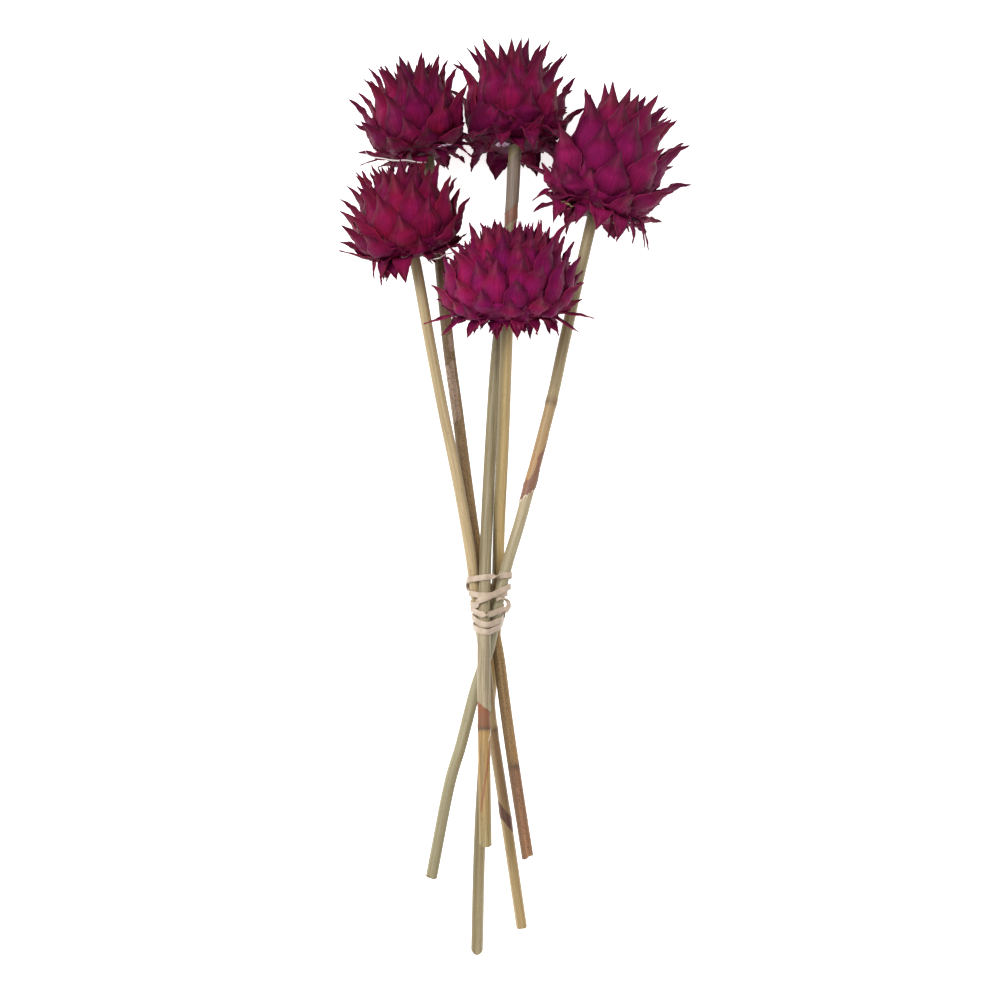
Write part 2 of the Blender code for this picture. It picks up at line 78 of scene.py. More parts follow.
def between(table: Sequence[Sequence[float]], x: float) -> list[float]:
    """Reads a table on straight lines between its rows.

    Args:
        table: rows that start with a rising x.
        x: where to read it.

    Returns:
        The other columns at x.
    """
    for low, high in zip(table, table[1:]):
        if x <= high[0]:
            share = (x - low[0]) / (high[0] - low[0])
            return [a + (b - a) * share for a, b in zip(low[1:], high[1:])]
    return list(table[-1][1:])


def smooth_route(points: Sequence[Vector], count: int) -> list[Vector]:
    """Draws one smooth curve through the given points.

    Args:
        points: what the curve passes through.
        count: how many points to read from it.

    Returns:
        Points at even distances along the curve.
    """
    substeps = 12                         # between two given points
    ends = [points[0] * 2 - points[1], *points, points[-1] * 2 - points[-2]]
    fine = []
    for a, b, c, d in zip(ends, ends[1:], ends[2:], ends[3:]):
        for step in range(substeps):
            t = step / substeps
            square = (a * 2 - b * 5 + c * 4 - d) * t**2
            cube = (b * 3 - a - c * 3 + d) * t**3
            fine.append((b * 2 + (c - a) * t + square + cube) / 2)
    fine.append(points[-1])
    reached = [0.0]
    for a, b in zip(fine, fine[1:]):
        reached.append(reached[-1] + (b - a).length)
    out = []
    at = 0
    for index in range(count):
        wanted = reached[-1] * index / (count - 1)
        while at < len(fine) - 2 and reached[at + 1] < wanted:
            at += 1
        share = (wanted - reached[at]) / (reached[at + 1] - reached[at])
        out.append(fine[at].lerp(fine[at + 1], min(1.0, share)))
    return out


class Pick(Enum):
    """What edit mode selects."""

    VERTS = (True, False, False)
    EDGES = (False, True, False)
    FACES = (False, False, True)


def only(obj: bpy.types.Object) -> None:
    """Makes this the one selected and active object, in object mode."""
    if bpy.context.object and bpy.context.object.mode != "OBJECT":
        bpy.ops.object.mode_set(mode="OBJECT")
    for other in bpy.context.selected_objects:
        other.select_set(False)
    obj.select_set(True)
    bpy.context.view_layer.objects.active = obj


def edit(obj: bpy.types.Object, pick: Pick, test: Callable) -> None:
    """Goes into edit mode with what passes the test selected.

    Args:
        obj: the mesh object to edit.
        pick: whether vertices, edges or faces are tested.
        test: takes one of them and says whether it is selected.
    """
    only(obj)
    mesh = obj.data
    kinds = {Pick.VERTS: mesh.vertices, Pick.EDGES: mesh.edges, Pick.FACES: mesh.polygons}
    for kind, items in kinds.items():
        for item in items:
            item.select = kind is pick and test(item)
    bpy.context.tool_settings.mesh_select_mode = pick.value
    bpy.ops.object.mode_set(mode="EDIT")


def modify(obj: bpy.types.Object, kind: str, **settings: object) -> None:
    """Adds one modifier, sets it and applies it.

    Args:
        obj: the mesh object.
        kind: Blender's name of the modifier's type.
        settings: the modifier's own settings.
    """
    only(obj)
    modifier = obj.modifiers.new(kind.lower(), kind)
    for name, value in settings.items():
        setattr(modifier, name, value)
    bpy.ops.object.modifier_apply(modifier=modifier.name)


def own_copy(obj: bpy.types.Object, name: str) -> bpy.types.Object:
    """A copy of the object with its own mesh."""
    made = obj.copy()
    made.data = obj.data.copy()
    made.name = name
    bpy.context.scene.collection.objects.link(made)
    return made


def joined(pieces: Sequence[bpy.types.Object], name: str) -> bpy.types.Object:
    """Joins the pieces into the first one.

    Args:
        pieces: mesh objects.
        name: what the joined object is called.

    Returns:
        The joined object, with its origin at the frame's.
    """
    only(pieces[0])
    for piece in pieces:
        piece.select_set(True)
    bpy.ops.object.join()
    made = bpy.context.object
    made.name = name
    made.data.name = name
    return made


def linear(colour: str) -> tuple[float, float, float, float]:
    """Turns an sRGB hex colour into the linear one that a shader reads."""
    channels = [int(colour[at:at + 2], 16) / 255 for at in (1, 3, 5)]
    return (*(c / 12.92 if c <= 0.04045 else ((c + 0.055) / 1.055) ** 2.4 for c in channels), 1.0)


def add_node(
    tree: bpy.types.NodeTree, kind: str, settings: dict | None = None, inputs: dict | None = None,
    stops: Sequence[tuple[float, str]] = (),
) -> bpy.types.Node:
    """Adds one node with its settings and links.

    Args:
        tree: the material's node tree.
        kind: Blender's name of the node's type.
        settings: what is set on the node itself.
        inputs: for each socket a value, or the socket that it is linked from.
        stops: a colour ramp's places and sRGB hex colours.

    Returns:
        The node.
    """
    node = tree.nodes.new(kind)
    for name, value in (settings or {}).items():
        setattr(node, name, value)
    for name, value in (inputs or {}).items():
        if isinstance(value, bpy.types.NodeSocket):
            tree.links.new(value, node.inputs[name])
        else:
            node.inputs[name].default_value = value
    for index, (position, colour) in enumerate(stops):
        elements = node.color_ramp.elements
        if index >= len(elements):
            elements.new(position)
        elements[index].position = position
        elements[index].color = linear(colour)
    return node


MIX_FACTOR, MIX_A, MIX_B, MIX_OUT = 0, 6, 7, 2   # sockets of a Mix node that mixes colours


def new_finish(name: str) -> tuple[bpy.types.Material, bpy.types.NodeTree, bpy.types.Node]:
    """Starts a material, and gives it with its node tree and its shader."""
    made = bpy.data.materials.new(name)
    made.use_nodes = True
    return made, made.node_tree, made.node_tree.nodes["Principled BSDF"]


def layered(tree: bpy.types.NodeTree, colour: bpy.types.NodeSocket, layers: Sequence) -> bpy.types.NodeSocket:
    """Lays colours over one another, each where its own pattern says.

    Args:
        tree: the material's node tree.
        colour: the colour below them.
        layers: for each colour its pattern, the pattern's values where the layer starts and where it is
            full, its strength at those two, and its sRGB hex colour.

    Returns:
        The colour on top.
    """
    for pattern, starts, full, weakest, strongest, over in layers:
        strength = add_node(tree, "ShaderNodeMapRange",
                            inputs={0: pattern, 1: starts, 2: full, 3: weakest, 4: strongest})
        mixed = add_node(tree, "ShaderNodeMix", {"data_type": "RGBA"},
                         {MIX_FACTOR: strength.outputs[0], MIX_A: colour, MIX_B: linear(over)})
        colour = mixed.outputs[MIX_OUT]
    return colour


@dataclass(frozen=True)
class DyedBract:
    """Dried leafy scale, dipped in dye: satin, with fine lengthwise fibres and browner, drier tips."""

    name: str
    # root: painted shade where it runs under the scale below; fibres and edge shade use it too
    root: str
    body: str
    # light: a painted highlight on the middle of the body
    light: str
    tip: str
    edge: str
    shade: str                            # the bluer dye that lies in blotches
    keel: str = "#943A56"                 # painted highlight along the keel of the spine
    gloss: str = "#C02C6C"                # the satin gleam takes on the dye's colour

    def material(self) -> bpy.types.Material:
        """Builds the finish.

        Returns:
            A material that reads the scale's own UV map, its tone attribute and Object coordinates.
        """
        fibre_count = 34                  # side by side on a scale, coarser than real ones so that they show
        fibre_length = 2.2                # how finely the fibres are broken up along the scale
        unlike = 61.0                     # how far apart the fibres of two scales are read
        blotch_size = 9 * MM
        speck_size = 1.1 * MM
        made, tree, shader = new_finish(self.name)
        leaf = add_node(tree, "ShaderNodeUVMap", {"uv_map": "UVMap"})
        split = add_node(tree, "ShaderNodeSeparateXYZ", inputs={0: leaf.outputs[0]})
        across, up = split.outputs[0], split.outputs[1]
        tone = add_node(tree, "ShaderNodeAttribute", {"attribute_name": "tone"})
        here = add_node(tree, "ShaderNodeTexCoord")
        # Along the scale: painted shade at the root, a painted highlight mid-body, the browner, drier tip
        along = add_node(
            tree, "ShaderNodeValToRGB", inputs={0: up},
            stops=((0.0, self.root), (0.20, self.body), (0.40, self.light), (0.56, self.body),
                   (0.72, self.tip)),
        )
        fibre_x, fibre_y, fibre_z = (
            add_node(tree, "ShaderNodeMath", {"operation": "MULTIPLY"}, {0: source, 1: factor}).outputs[0]
            for source, factor in ((across, fibre_count), (up, fibre_length), (tone.outputs["Fac"], unlike))
        )
        fibre_at = add_node(tree, "ShaderNodeCombineXYZ", inputs={0: fibre_x, 1: fibre_y, 2: fibre_z})
        fibre = add_node(tree, "ShaderNodeTexNoise", inputs={"Vector": fibre_at.outputs[0], "Scale": 1.0,
                                                             "Detail": 3.0, "Roughness": 0.6})
        blotch, speck = (
            add_node(tree, "ShaderNodeTexNoise",
                     inputs={"Vector": here.outputs["Object"], "Scale": 1 / size, "Detail": detail})
            for size, detail in ((blotch_size, 2.0), (speck_size, 1.0))
        )
        centred = add_node(tree, "ShaderNodeMath", {"operation": "SUBTRACT"}, {0: across, 1: 0.5})
        off_keel = add_node(tree, "ShaderNodeMath", {"operation": "ABSOLUTE"}, {0: centred.outputs[0]})
        from_keel = off_keel.outputs[0]   # 0 on the keel, 0.5 at the edge
        on_spine = add_node(tree, "ShaderNodeMapRange", inputs={0: up, 1: 0.46, 2: 0.66, 3: 0.0, 4: 0.34})
        colour = layered(tree, along.outputs[0], (
            (fibre.outputs[0], 0.35, 0.68, 0.0, 0.52, self.root),
            (blotch.outputs[0], 0.42, 0.66, 0.0, 0.75, self.shade),
            # Painted shade towards the edges, which curve away under the keel
            (from_keel, 0.10, 0.44, 0.0, 0.45, self.root),
            (from_keel, 0.462, 0.488, 0.0, 0.6, self.edge),
            # Painted highlight along the keel of the spine
            (from_keel, 0.0, 0.22, on_spine.outputs[0], 0.0, self.keel),
            (speck.outputs[0], 0.70, 0.76, 0.0, 0.6, self.tip),
        ))
        brightness = add_node(tree, "ShaderNodeMapRange", inputs={0: tone.outputs["Fac"], 3: 0.76, 4: 1.16})
        hue = add_node(tree, "ShaderNodeMapRange", inputs={0: tone.outputs["Fac"], 3: 0.488, 4: 0.507})
        toned = add_node(tree, "ShaderNodeHueSaturation",
                         inputs={"Color": colour, "Value": brightness.outputs[0], "Hue": hue.outputs[0]})
        tree.links.new(toned.outputs[0], shader.inputs["Base Color"])
        gloss = add_node(tree, "ShaderNodeMapRange", inputs={0: fibre.outputs[0], 3: 0.50, 4: 0.74})
        tree.links.new(gloss.outputs[0], shader.inputs["Roughness"])
        wrinkle_at = add_node(tree, "ShaderNodeVectorMath", {"operation": "MULTIPLY"},
                              {0: fibre_at.outputs[0], 1: (0.2, 1.0, 1.0)})
        wrinkle = add_node(tree, "ShaderNodeTexNoise",
                           inputs={"Vector": wrinkle_at.outputs[0], "Scale": 1.0, "Detail": 4.0})
        ridges = add_node(tree, "ShaderNodeBump",
                          inputs={"Strength": 0.7, "Distance": 0.45 * MM, "Height": fibre.outputs[0]})
        relief = add_node(tree, "ShaderNodeBump",
                          inputs={"Strength": 0.8, "Distance": 1.8 * MM, "Height": wrinkle.outputs[0],
                                  "Normal": ridges.outputs[0]})
        tree.links.new(relief.outputs[0], shader.inputs["Normal"])
        shader.inputs["Specular IOR Level"].default_value = 0.2
        shader.inputs["Specular Tint"].default_value = linear(self.gloss)
        return made


@dataclass(frozen=True)
class DryReed:
    """Cut and dried grass stem: a smooth waxy bark with fibres along it, weathered in patches."""

    name: str
    along: tuple[tuple[float, str], ...]  # colours from the head's end to the cut end
    fibre: str
    patch: str
    patches: float                        # share of the bark that is patched
    fibre_share: float
    roughness: float = 0.5
    flank: str = "#8A7C58"                # of the side that faces left
    flank_share: float = 0.0
    speckle: float = 0.15                 # how strongly it is dotted
    dark: str = "#4A3626"

    def material(self) -> bpy.types.Material:
        """Builds the finish.

        Returns:
            A material that reads the attribute named straight, the place on the reed before it bent.
        """
        fibre_size = 0.45 * MM            # coarser than the real fibres, so that they show
        stripe_size = 1.7 * MM
        patch_size = 5 * MM
        dot_size = 0.8 * MM
        scar_size = 0.9 * MM
        made, tree, shader = new_finish(self.name)
        straight = add_node(tree, "ShaderNodeAttribute", {"attribute_name": "straight"})
        share = add_node(tree, "ShaderNodeAttribute", {"attribute_name": "share"})
        along = add_node(tree, "ShaderNodeValToRGB", inputs={0: share.outputs["Fac"]}, stops=self.along)
        thin = add_node(tree, "ShaderNodeMapping",
                        inputs={0: straight.outputs["Vector"], "Scale": (1.0, 1.0, 0.02)})
        fibre = add_node(tree, "ShaderNodeTexNoise",
                         inputs={"Vector": thin.outputs[0], "Scale": 1 / fibre_size, "Detail": 2.0})
        stripe = add_node(tree, "ShaderNodeTexNoise",
                          inputs={"Vector": thin.outputs[0], "Scale": 1 / stripe_size, "Detail": 1.0})
        short = add_node(tree, "ShaderNodeMapping",
                         inputs={0: straight.outputs["Vector"], "Scale": (1.0, 1.0, 0.16)})
        patch = add_node(tree, "ShaderNodeTexNoise",
                         inputs={"Vector": short.outputs[0], "Scale": 1 / patch_size, "Detail": 5.0,
                                 "Roughness": 0.65})
        dot = add_node(tree, "ShaderNodeTexNoise",
                       inputs={"Vector": straight.outputs["Vector"], "Scale": 1 / dot_size, "Detail": 2.0})
        scar = add_node(tree, "ShaderNodeTexNoise",
                        inputs={"Vector": short.outputs[0], "Scale": 1 / scar_size, "Detail": 1.0})
        place_on_it = add_node(tree, "ShaderNodeSeparateXYZ", inputs={0: straight.outputs["Vector"]})
        wobble = add_node(tree, "ShaderNodeMath", {"operation": "MULTIPLY_ADD"},
                          {0: stripe.outputs[0], 1: 2.4 * MM, 2: place_on_it.outputs[0]})
        patched_from = 0.72 - 0.30 * self.patches
        colour = layered(tree, along.outputs[0], (
            (wobble.outputs[0], 1.0 * MM, -0.4 * MM, 0.0, self.flank_share, self.flank),
            (stripe.outputs[0], 0.47, 0.60, 0.0, 0.45, self.fibre),
            (fibre.outputs[0], 0.38, 0.66, 0.0, self.fibre_share, self.fibre),
            (patch.outputs[0], patched_from, patched_from + 0.10, 0.0, 0.75, self.patch),
            (dot.outputs[0], 0.54, 0.64, 0.0, self.speckle, self.dark),
            (scar.outputs[0], 0.73, 0.77, 0.0, 0.5, self.dark),
        ))
        tree.links.new(colour, shader.inputs["Base Color"])
        shader.inputs["Roughness"].default_value = self.roughness
        relief = add_node(tree, "ShaderNodeBump",
                          inputs={"Strength": 0.5, "Distance": 0.2 * MM, "Height": fibre.outputs[0]})
        tree.links.new(relief.outputs[0], shader.inputs["Normal"])
        return made


@dataclass(frozen=True)
class Pith:
    """Spongy middle of the stem: pale, dry and matt, with open cells."""

    name: str = "dry_pith"
    colour: str = "#C9B58C"
    cell: str = "#8E7A56"

    def material(self) -> bpy.types.Material:
        """Builds the finish from cells half a millimetre wide."""
        made, tree, shader = new_finish(self.name)
        here = add_node(tree, "ShaderNodeTexCoord")
        cells = add_node(tree, "ShaderNodeTexVoronoi",
                         inputs={"Vector": here.outputs["Object"], "Scale": 1 / (0.5 * MM)})
        colour = add_node(tree, "ShaderNodeValToRGB", inputs={0: cells.outputs[0]},
                          stops=((0.2, self.cell), (0.6, self.colour)))
        tree.links.new(colour.outputs[0], shader.inputs["Base Color"])
        shader.inputs["Roughness"].default_value = 0.9
        return made


@dataclass(frozen=True)
class NaturalRubber:
    """Cured natural rubber, cut in a flat strip: tan, dusty and matt, with faint bloom in blotches."""

    name: str = "natural_rubber"
    colour: str = "#B09C88"
    bloom: str = "#BAA692"
    dirt: str = "#A28E7A"

    def material(self) -> bpy.types.Material:
        """Builds the finish from blotches 5 mm wide and grains of 0.3 mm."""
        made, tree, shader = new_finish(self.name)
        here = add_node(tree, "ShaderNodeTexCoord")
        blotch = add_node(tree, "ShaderNodeTexNoise",
                          inputs={"Vector": here.outputs["Object"], "Scale": 1 / (5 * MM), "Detail": 2.0})
        colour = add_node(tree, "ShaderNodeValToRGB", inputs={0: blotch.outputs[0]},
                          stops=((0.34, self.dirt), (0.50, self.colour), (0.68, self.bloom)))
        grain = add_node(tree, "ShaderNodeTexNoise",
                         inputs={"Vector": here.outputs["Object"], "Scale": 1 / (0.3 * MM), "Detail": 2.0})
        relief = add_node(tree, "ShaderNodeBump",
                          inputs={"Strength": 0.12, "Distance": 0.05 * MM, "Height": grain.outputs[0]})
        tree.links.new(colour.outputs[0], shader.inputs["Base Color"])
        tree.links.new(relief.outputs[0], shader.inputs["Normal"])
        shader.inputs["Roughness"].default_value = 0.55
        shader.inputs["IOR"].default_value = 1.52
        return made


ROUTE_POINTS = 120                        # read from a reed's smooth centre line
END_LENGTH = 4 * MM                       # of a reed, from its cut end, that the shears shape
NOTCH_WIDTH = 0.55                        # radians round the reed
SEAM = 0.02                               # of the bark, inside its rim, that isn't pith yet
SHEATH_SIDES = 36
SHEATH_RINGS = 14                         # edge loops along it
COARSE_TEARS = (7, 0.6)                   # number round a whole sheath, and share of the tearing
FINE_TEARS = (17, 0.4)
FRAYS = (13, 0.10)                        # of a flake's sides: waves in radians along it, share of its width


@dataclass(frozen=True)
class Sheath:
    """The dry foot of a leaf that wraps a reed, or a flake of its bark: a thin torn shell."""

    start: float                          # y in mm, towards the head
    end: float                            # y in mm, towards the cut end
    facing: float                         # degrees round the reed: 0 is right, 90 is up
    spread: float                         # degrees to either side of that
    slant: float                          # mm that its ends run back from one side to the other
    jag: float                            # mm by which its ends are torn
    finish: DryReed
    proud: float = 1.04                   # radius of its inside, in radii of the reed
    thickness: float = 0.25               # mm
    winds: float = 0.0                    # degrees that it winds round the reed along its length


@dataclass
class Reed:
    """A cut stem, in mm: its route from the head to the cut end, and the swellings along it."""

    name: str
    slot: str
    finish: DryReed
    radius: float
    route: tuple
    swellings: tuple                      # (y of the middle, length, extra radius)
    sheaths: tuple[Sheath, ...] = ()
    end_slant: tuple[float, float] = (0.0, 0.0)  # degrees that it faces, mm that the cut runs back
    notch: tuple[float, float] = (0.0, 0.0)      # degrees round the reed, mm deep
    rounded: float = 1.0                  # mm that the cut end runs back at its sides, pressed by the shears
    points: list[Vector] = field(default_factory=list)
    flutes: int = 5                       # shallow lengthwise hollows
    flute_depth: float = 0.015            # share of the radius
    bark: float = 0.14                    # thickness round the cut end, as a share of the radius
    cone: float = 0.38                    # width of the pith's sunk rim, as a share of the radius
    bore: float = 3.0                     # how deep the cut end is open
    sides: int = 24
    rings: int = 100                      # edge loops along it

    def __post_init__(self) -> None:
        """Works out the centre line."""
        self.points = smooth_route([place(point) for point in self.route], ROUTE_POINTS)

    def centre_at(self, y: float) -> Vector:
        """Where the centre line passes this y, in metres."""
        for a, b in zip(self.points, self.points[1:]):
            if b.y <= y:
                return a.lerp(b, (a.y - y) / (a.y - b.y))
        return self.points[-1]

    def distance(self, point: Vector) -> float:
        """From a point to the centre line."""
        return min((point - on_line).length for on_line in self.points)

    def radius_at(self, y: float) -> float:
        """The radius at this y, with the swellings of the nodes and sheath ends."""
        radius = self.radius * MM
        for middle, length, extra in self.swellings:
            off = abs(y - (middle * MM - MIDDLE.y)) / (length / 2 * MM)
            if off < 1:
                radius += extra * MM * (1 + math.cos(math.pi * off)) / 2
        return radius

    def bend(self, obj: bpy.types.Object) -> None:
        """Lays a straight upright piece along the route and keeps its straight places as an attribute.

        Args:
            obj: a mesh whose z is the distance from the head's end and whose x and y are in radii.
        """
        mesh = obj.data
        mesh.attributes.new("straight", "FLOAT_VECTOR", "POINT")
        mesh.attributes.new("share", "FLOAT", "POINT")
        straight = mesh.attributes["straight"]
        share = mesh.attributes["share"]
        first = self.points[0].y
        length = first - self.points[-1].y
        step = 2 * MM
        for index, vert in enumerate(mesh.vertices):
            y = first - vert.co.z
            centre = self.centre_at(y)
            along = (self.centre_at(y - step) - self.centre_at(y + step)).normalized()
            up = (Vector((0, 0, 1)) - along * along.z).normalized()
            side = along.cross(up) * -1
            angle = math.atan2(vert.co.y, vert.co.x)
            ripple = 1 + self.flute_depth * math.sin(self.flutes * angle + 3 * self.radius)
            size = self.radius_at(y) * ripple
            straight.data[index].vector = (*(vert.co.xy * self.radius * MM), vert.co.z)
            share.data[index].value = vert.co.z / length
            vert.co = centre + (side * vert.co.x + up * vert.co.y) * size

    def build(self, pith: bpy.types.Material) -> bpy.types.Object:
        """Models the stem.

        Args:
            pith: the finish of the open cut end.

        Returns:
            The finished piece.
        """
        length = self.points[0].y - self.points[-1].y
        bpy.ops.mesh.primitive_cylinder_add(
            vertices=self.sides, radius=1, depth=length, location=(0, 0, length / 2)
        )
        stem = bpy.context.object
        stem.name = self.name
        bpy.ops.object.transform_apply(location=True, rotation=False, scale=False)
        verts = stem.data.vertices

        def runs_along(edge: bpy.types.MeshEdge) -> bool:
            a, b = (verts[index].co for index in edge.vertices)
            return abs(a.z - b.z) > length / 2

        edit(stem, Pick.EDGES, runs_along)
        bpy.ops.mesh.subdivide(number_cuts=self.rings)
        edit(stem, Pick.FACES, lambda face: face.center.z > length - TINY)
        bpy.ops.mesh.inset(thickness=self.bark, use_boundary=True)
        bpy.ops.mesh.inset(thickness=self.cone)
        bpy.ops.transform.translate(value=(0, 0, -self.bore * MM))
        only(stem)
        self.trim(stem, length)
        stem.data.materials.append(self.finish.material())
        stem.data.materials.append(pith)
        for face in stem.data.polygons:
            inside = face.center.xy.length < 1 - self.bark - SEAM
            face.material_index = 1 if inside and face.center.z > length - END_LENGTH else 0
        self.bend(stem)
        stem = joined([stem, *(self.wrap(sheath) for sheath in self.sheaths)], self.name)
        only(stem)
        bpy.ops.object.shade_smooth_by_angle(angle=math.radians(40))
        return stem

    def trim(self, stem: bpy.types.Object, length: float) -> None:
        """Gives the straight stem's cut end its slant and its notch.

        Args:
            stem: the straight stem, with its cut end at the top.
            length: of the stem.
        """
        faces, back = self.end_slant
        at, deep = self.notch
        for vert in stem.data.vertices:
            if vert.co.z > length - END_LENGTH:
                round_it = math.atan2(vert.co.y, vert.co.x)
                off = (round_it - math.radians(at) + math.pi) % (2 * math.pi) - math.pi
                vert.co.z -= back * MM * (1 - math.cos(round_it - math.radians(faces))) / 2
                vert.co.z -= deep * MM * math.exp(-(off / NOTCH_WIDTH) ** 2)
                vert.co.z -= self.rounded * MM * vert.co.x**2

    def wrap(self, sheath: Sheath) -> bpy.types.Object:
        """Models one sheath on the stem.

        Args:
            sheath: where it lies.

        Returns:
            The finished shell.
        """
        top = self.points[0].y + MIDDLE.y
        start = top - sheath.start * MM
        end = top - sheath.end * MM
        bpy.ops.mesh.primitive_cylinder_add(
            vertices=SHEATH_SIDES, radius=sheath.proud, depth=end - start, end_fill_type="NOTHING",
            location=(0, 0, (start + end) / 2),
        )
        shell = bpy.context.object
        bpy.ops.object.transform_apply(location=True, rotation=False, scale=False)
        verts = shell.data.vertices

        def runs_along(edge: bpy.types.MeshEdge) -> bool:
            a, b = (verts[index].co for index in edge.vertices)
            return abs(a.z - b.z) > (end - start) / 2

        def turned(place_on_it: Vector) -> float:
            angle = math.atan2(place_on_it.y, place_on_it.x) - math.radians(sheath.facing)
            return (angle + math.pi) % (2 * math.pi) - math.pi

        edit(shell, Pick.EDGES, runs_along)
        bpy.ops.mesh.subdivide(number_cuts=SHEATH_RINGS)
        if sheath.spread < 180:
            edit(shell, Pick.FACES, lambda face: abs(turned(face.center)) > math.radians(sheath.spread))
            bpy.ops.mesh.delete(type="FACE")
        only(shell)
        for vert in shell.data.vertices:
            share = (vert.co.z - start) / (end - start)
            angle = turned(vert.co)
            tear = math.sin(COARSE_TEARS[0] * angle + sheath.facing) * COARSE_TEARS[1]
            tear += math.sin(FINE_TEARS[0] * angle + 1) * FINE_TEARS[1]
            from_middle = 2 * share - 1
            moved = sheath.slant * math.sin(angle) + sheath.jag * tear * from_middle
            vert.co.z += moved * MM * abs(from_middle)
            fray = 1 - FRAYS[1] * math.sin(FRAYS[0] * share + sheath.facing) * (sheath.spread < 180)
            turn = Matrix.Rotation((fray - 1) * angle + math.radians(sheath.winds) * share, 2)
            vert.co.xy = turn @ vert.co.xy
        shell.data.materials.append(sheath.finish.material())
        self.bend(shell)
        modify(shell, "SOLIDIFY", thickness=sheath.thickness * MM, offset=1)
        return shell


@dataclass(frozen=True)
class BractShape:
    """Outline of one scale: half-widths at stations along it, and how far its edges lie under its keel."""

    rows: tuple[tuple[float, float], ...]
    arch: float
    spine_arch: float                     # in the last third, where the keel stands out


class BractForm(Enum):
    """The scales' forms."""

    SPINED = BractShape(
        ((0, 0.78), (0.13, 0.93), (0.26, 1.0), (0.38, 1.0), (0.47, 0.88), (0.54, 0.66), (0.61, 0.47),
         (0.71, 0.34), (0.83, 0.22), (0.92, 0.12), (1, 0.02)), 0.42, 1.1,
    )
    KEELED = BractShape(
        ((0, 0.74), (0.14, 0.89), (0.28, 0.98), (0.41, 1.0), (0.50, 0.92), (0.57, 0.75), (0.64, 0.54),
         (0.72, 0.38), (0.82, 0.24), (0.91, 0.13), (1, 0.02)), 0.44, 1.0,
    )
    BROAD = BractShape(
        ((0, 0.72), (0.14, 0.90), (0.29, 1.0), (0.44, 1.0), (0.57, 0.88), (0.68, 0.64), (0.78, 0.40),
         (0.89, 0.20), (1, 0.02)), 0.44, 0.8,
    )
    FLAP = BractShape(
        ((0, 0.92), (0.12, 1.0), (0.26, 0.97), (0.40, 0.86), (0.53, 0.70), (0.66, 0.51), (0.78, 0.33),
         (0.90, 0.15), (1, 0.02)), 0.22, 0.4,
    )
    TORN = BractShape(
        ((0, 0.80), (0.15, 0.95), (0.30, 1.0), (0.45, 0.96), (0.60, 0.86), (0.72, 0.74), (0.84, 0.62),
         (1, 0.48)), 0.25, 0.2,
    )


BLANK_LENGTH = 35 * MM
BLANK_HALF_WIDTH = 9 * MM
COLUMNS = 4
KEEL_RISE = 0.05                          # of the keel over the curve, as a share of the half-width
SPINE_FROM = 0.66                         # share of the length where the spine begins
LIFT_FROM = 0.45                          # share of the length where the tip starts to stand off
CRUMPLE_SIZE = 4 * MM
TEAR = 0.34                               # how far a torn end is torn back, as a share of the length
TEETH = 1300                              # radians a metre, so that a torn end's teeth are 5 mm apart
RIPPLES = 9                               # waves of the edges, in radians along the whole scale
COARSE_NOTCHES = 23
FINE_NOTCHES = 47
FINE_NOTCH_SHARE = 0.6                    # depth of the fine notches against the coarse ones
# Polar angles and headings from here on are in degrees from the head's tip. Each small scale draws evenly
# from these ranges, where lengths and half-widths are shares of the head's largest scale.
RUFF = ((132, 110), (142, 140), (152, 160), (158, 170))  # polar angle of the root, heading of the tip
RUFF_LENGTHS = (0.22, 0.46)
RUFF_HALF_WIDTHS = (0.34, 0.66)
RUFF_STRAY = (-30, 18)                    # degrees added to the heading
RUFF_RISES = (0.0, 2.4)                   # mm off the core
RUFF_CROWDING = 0.8                       # exponent by which they stand closer together near the stem
SHINGLES = ((159, 7), (151, 10), (142, 12), (133, 13), (123, 13))  # each ring's polar angle and number
SHINGLE_LENGTHS = (0.42, 0.56)
SHINGLE_HEADINGS = (48, 72)
SHINGLE_LIFTS = (8, 16)
SHINGLE_OVERLAP = 1.3                     # half-width as a share of half the space that each one has
SHINGLE_EXTRA = 1.6 * MM
BUD = ((16, 8), (10, 6), (4, 3))          # each ring's polar angle and number
BUD_LENGTHS = (0.44, 0.56)
BUD_HALF_WIDTH = 0.62
BUD_HEADINGS = (-0.30, -0.12)             # radians, so that they close over the middle
LOW_POLAR = 140                           # where the loose low scales begin
LOOSENESS = 2.5                           # how much more these are twisted, waved and torn
LOOSE_SHARE = 0.7                         # of them that are wide at the root
CROWN_POLAR = 42
FRONT_HOLD = 0.4                          # how far the low scales that face up are held in
HOLD_FROM = 95                            # polar angle where this begins
HOLD_OVER = 20                            # degrees over which it grows to the whole
BRACT_THICKNESS = 0.6 * MM
SKIN_THICKNESS = 0.3 * MM
SKIN_STEPS = 26
SKIN_END = 0.3                            # width at a strip's ends, as a share of its middle's
SKIN_WAVES = (17, 0.4)                    # radians along it, mm high


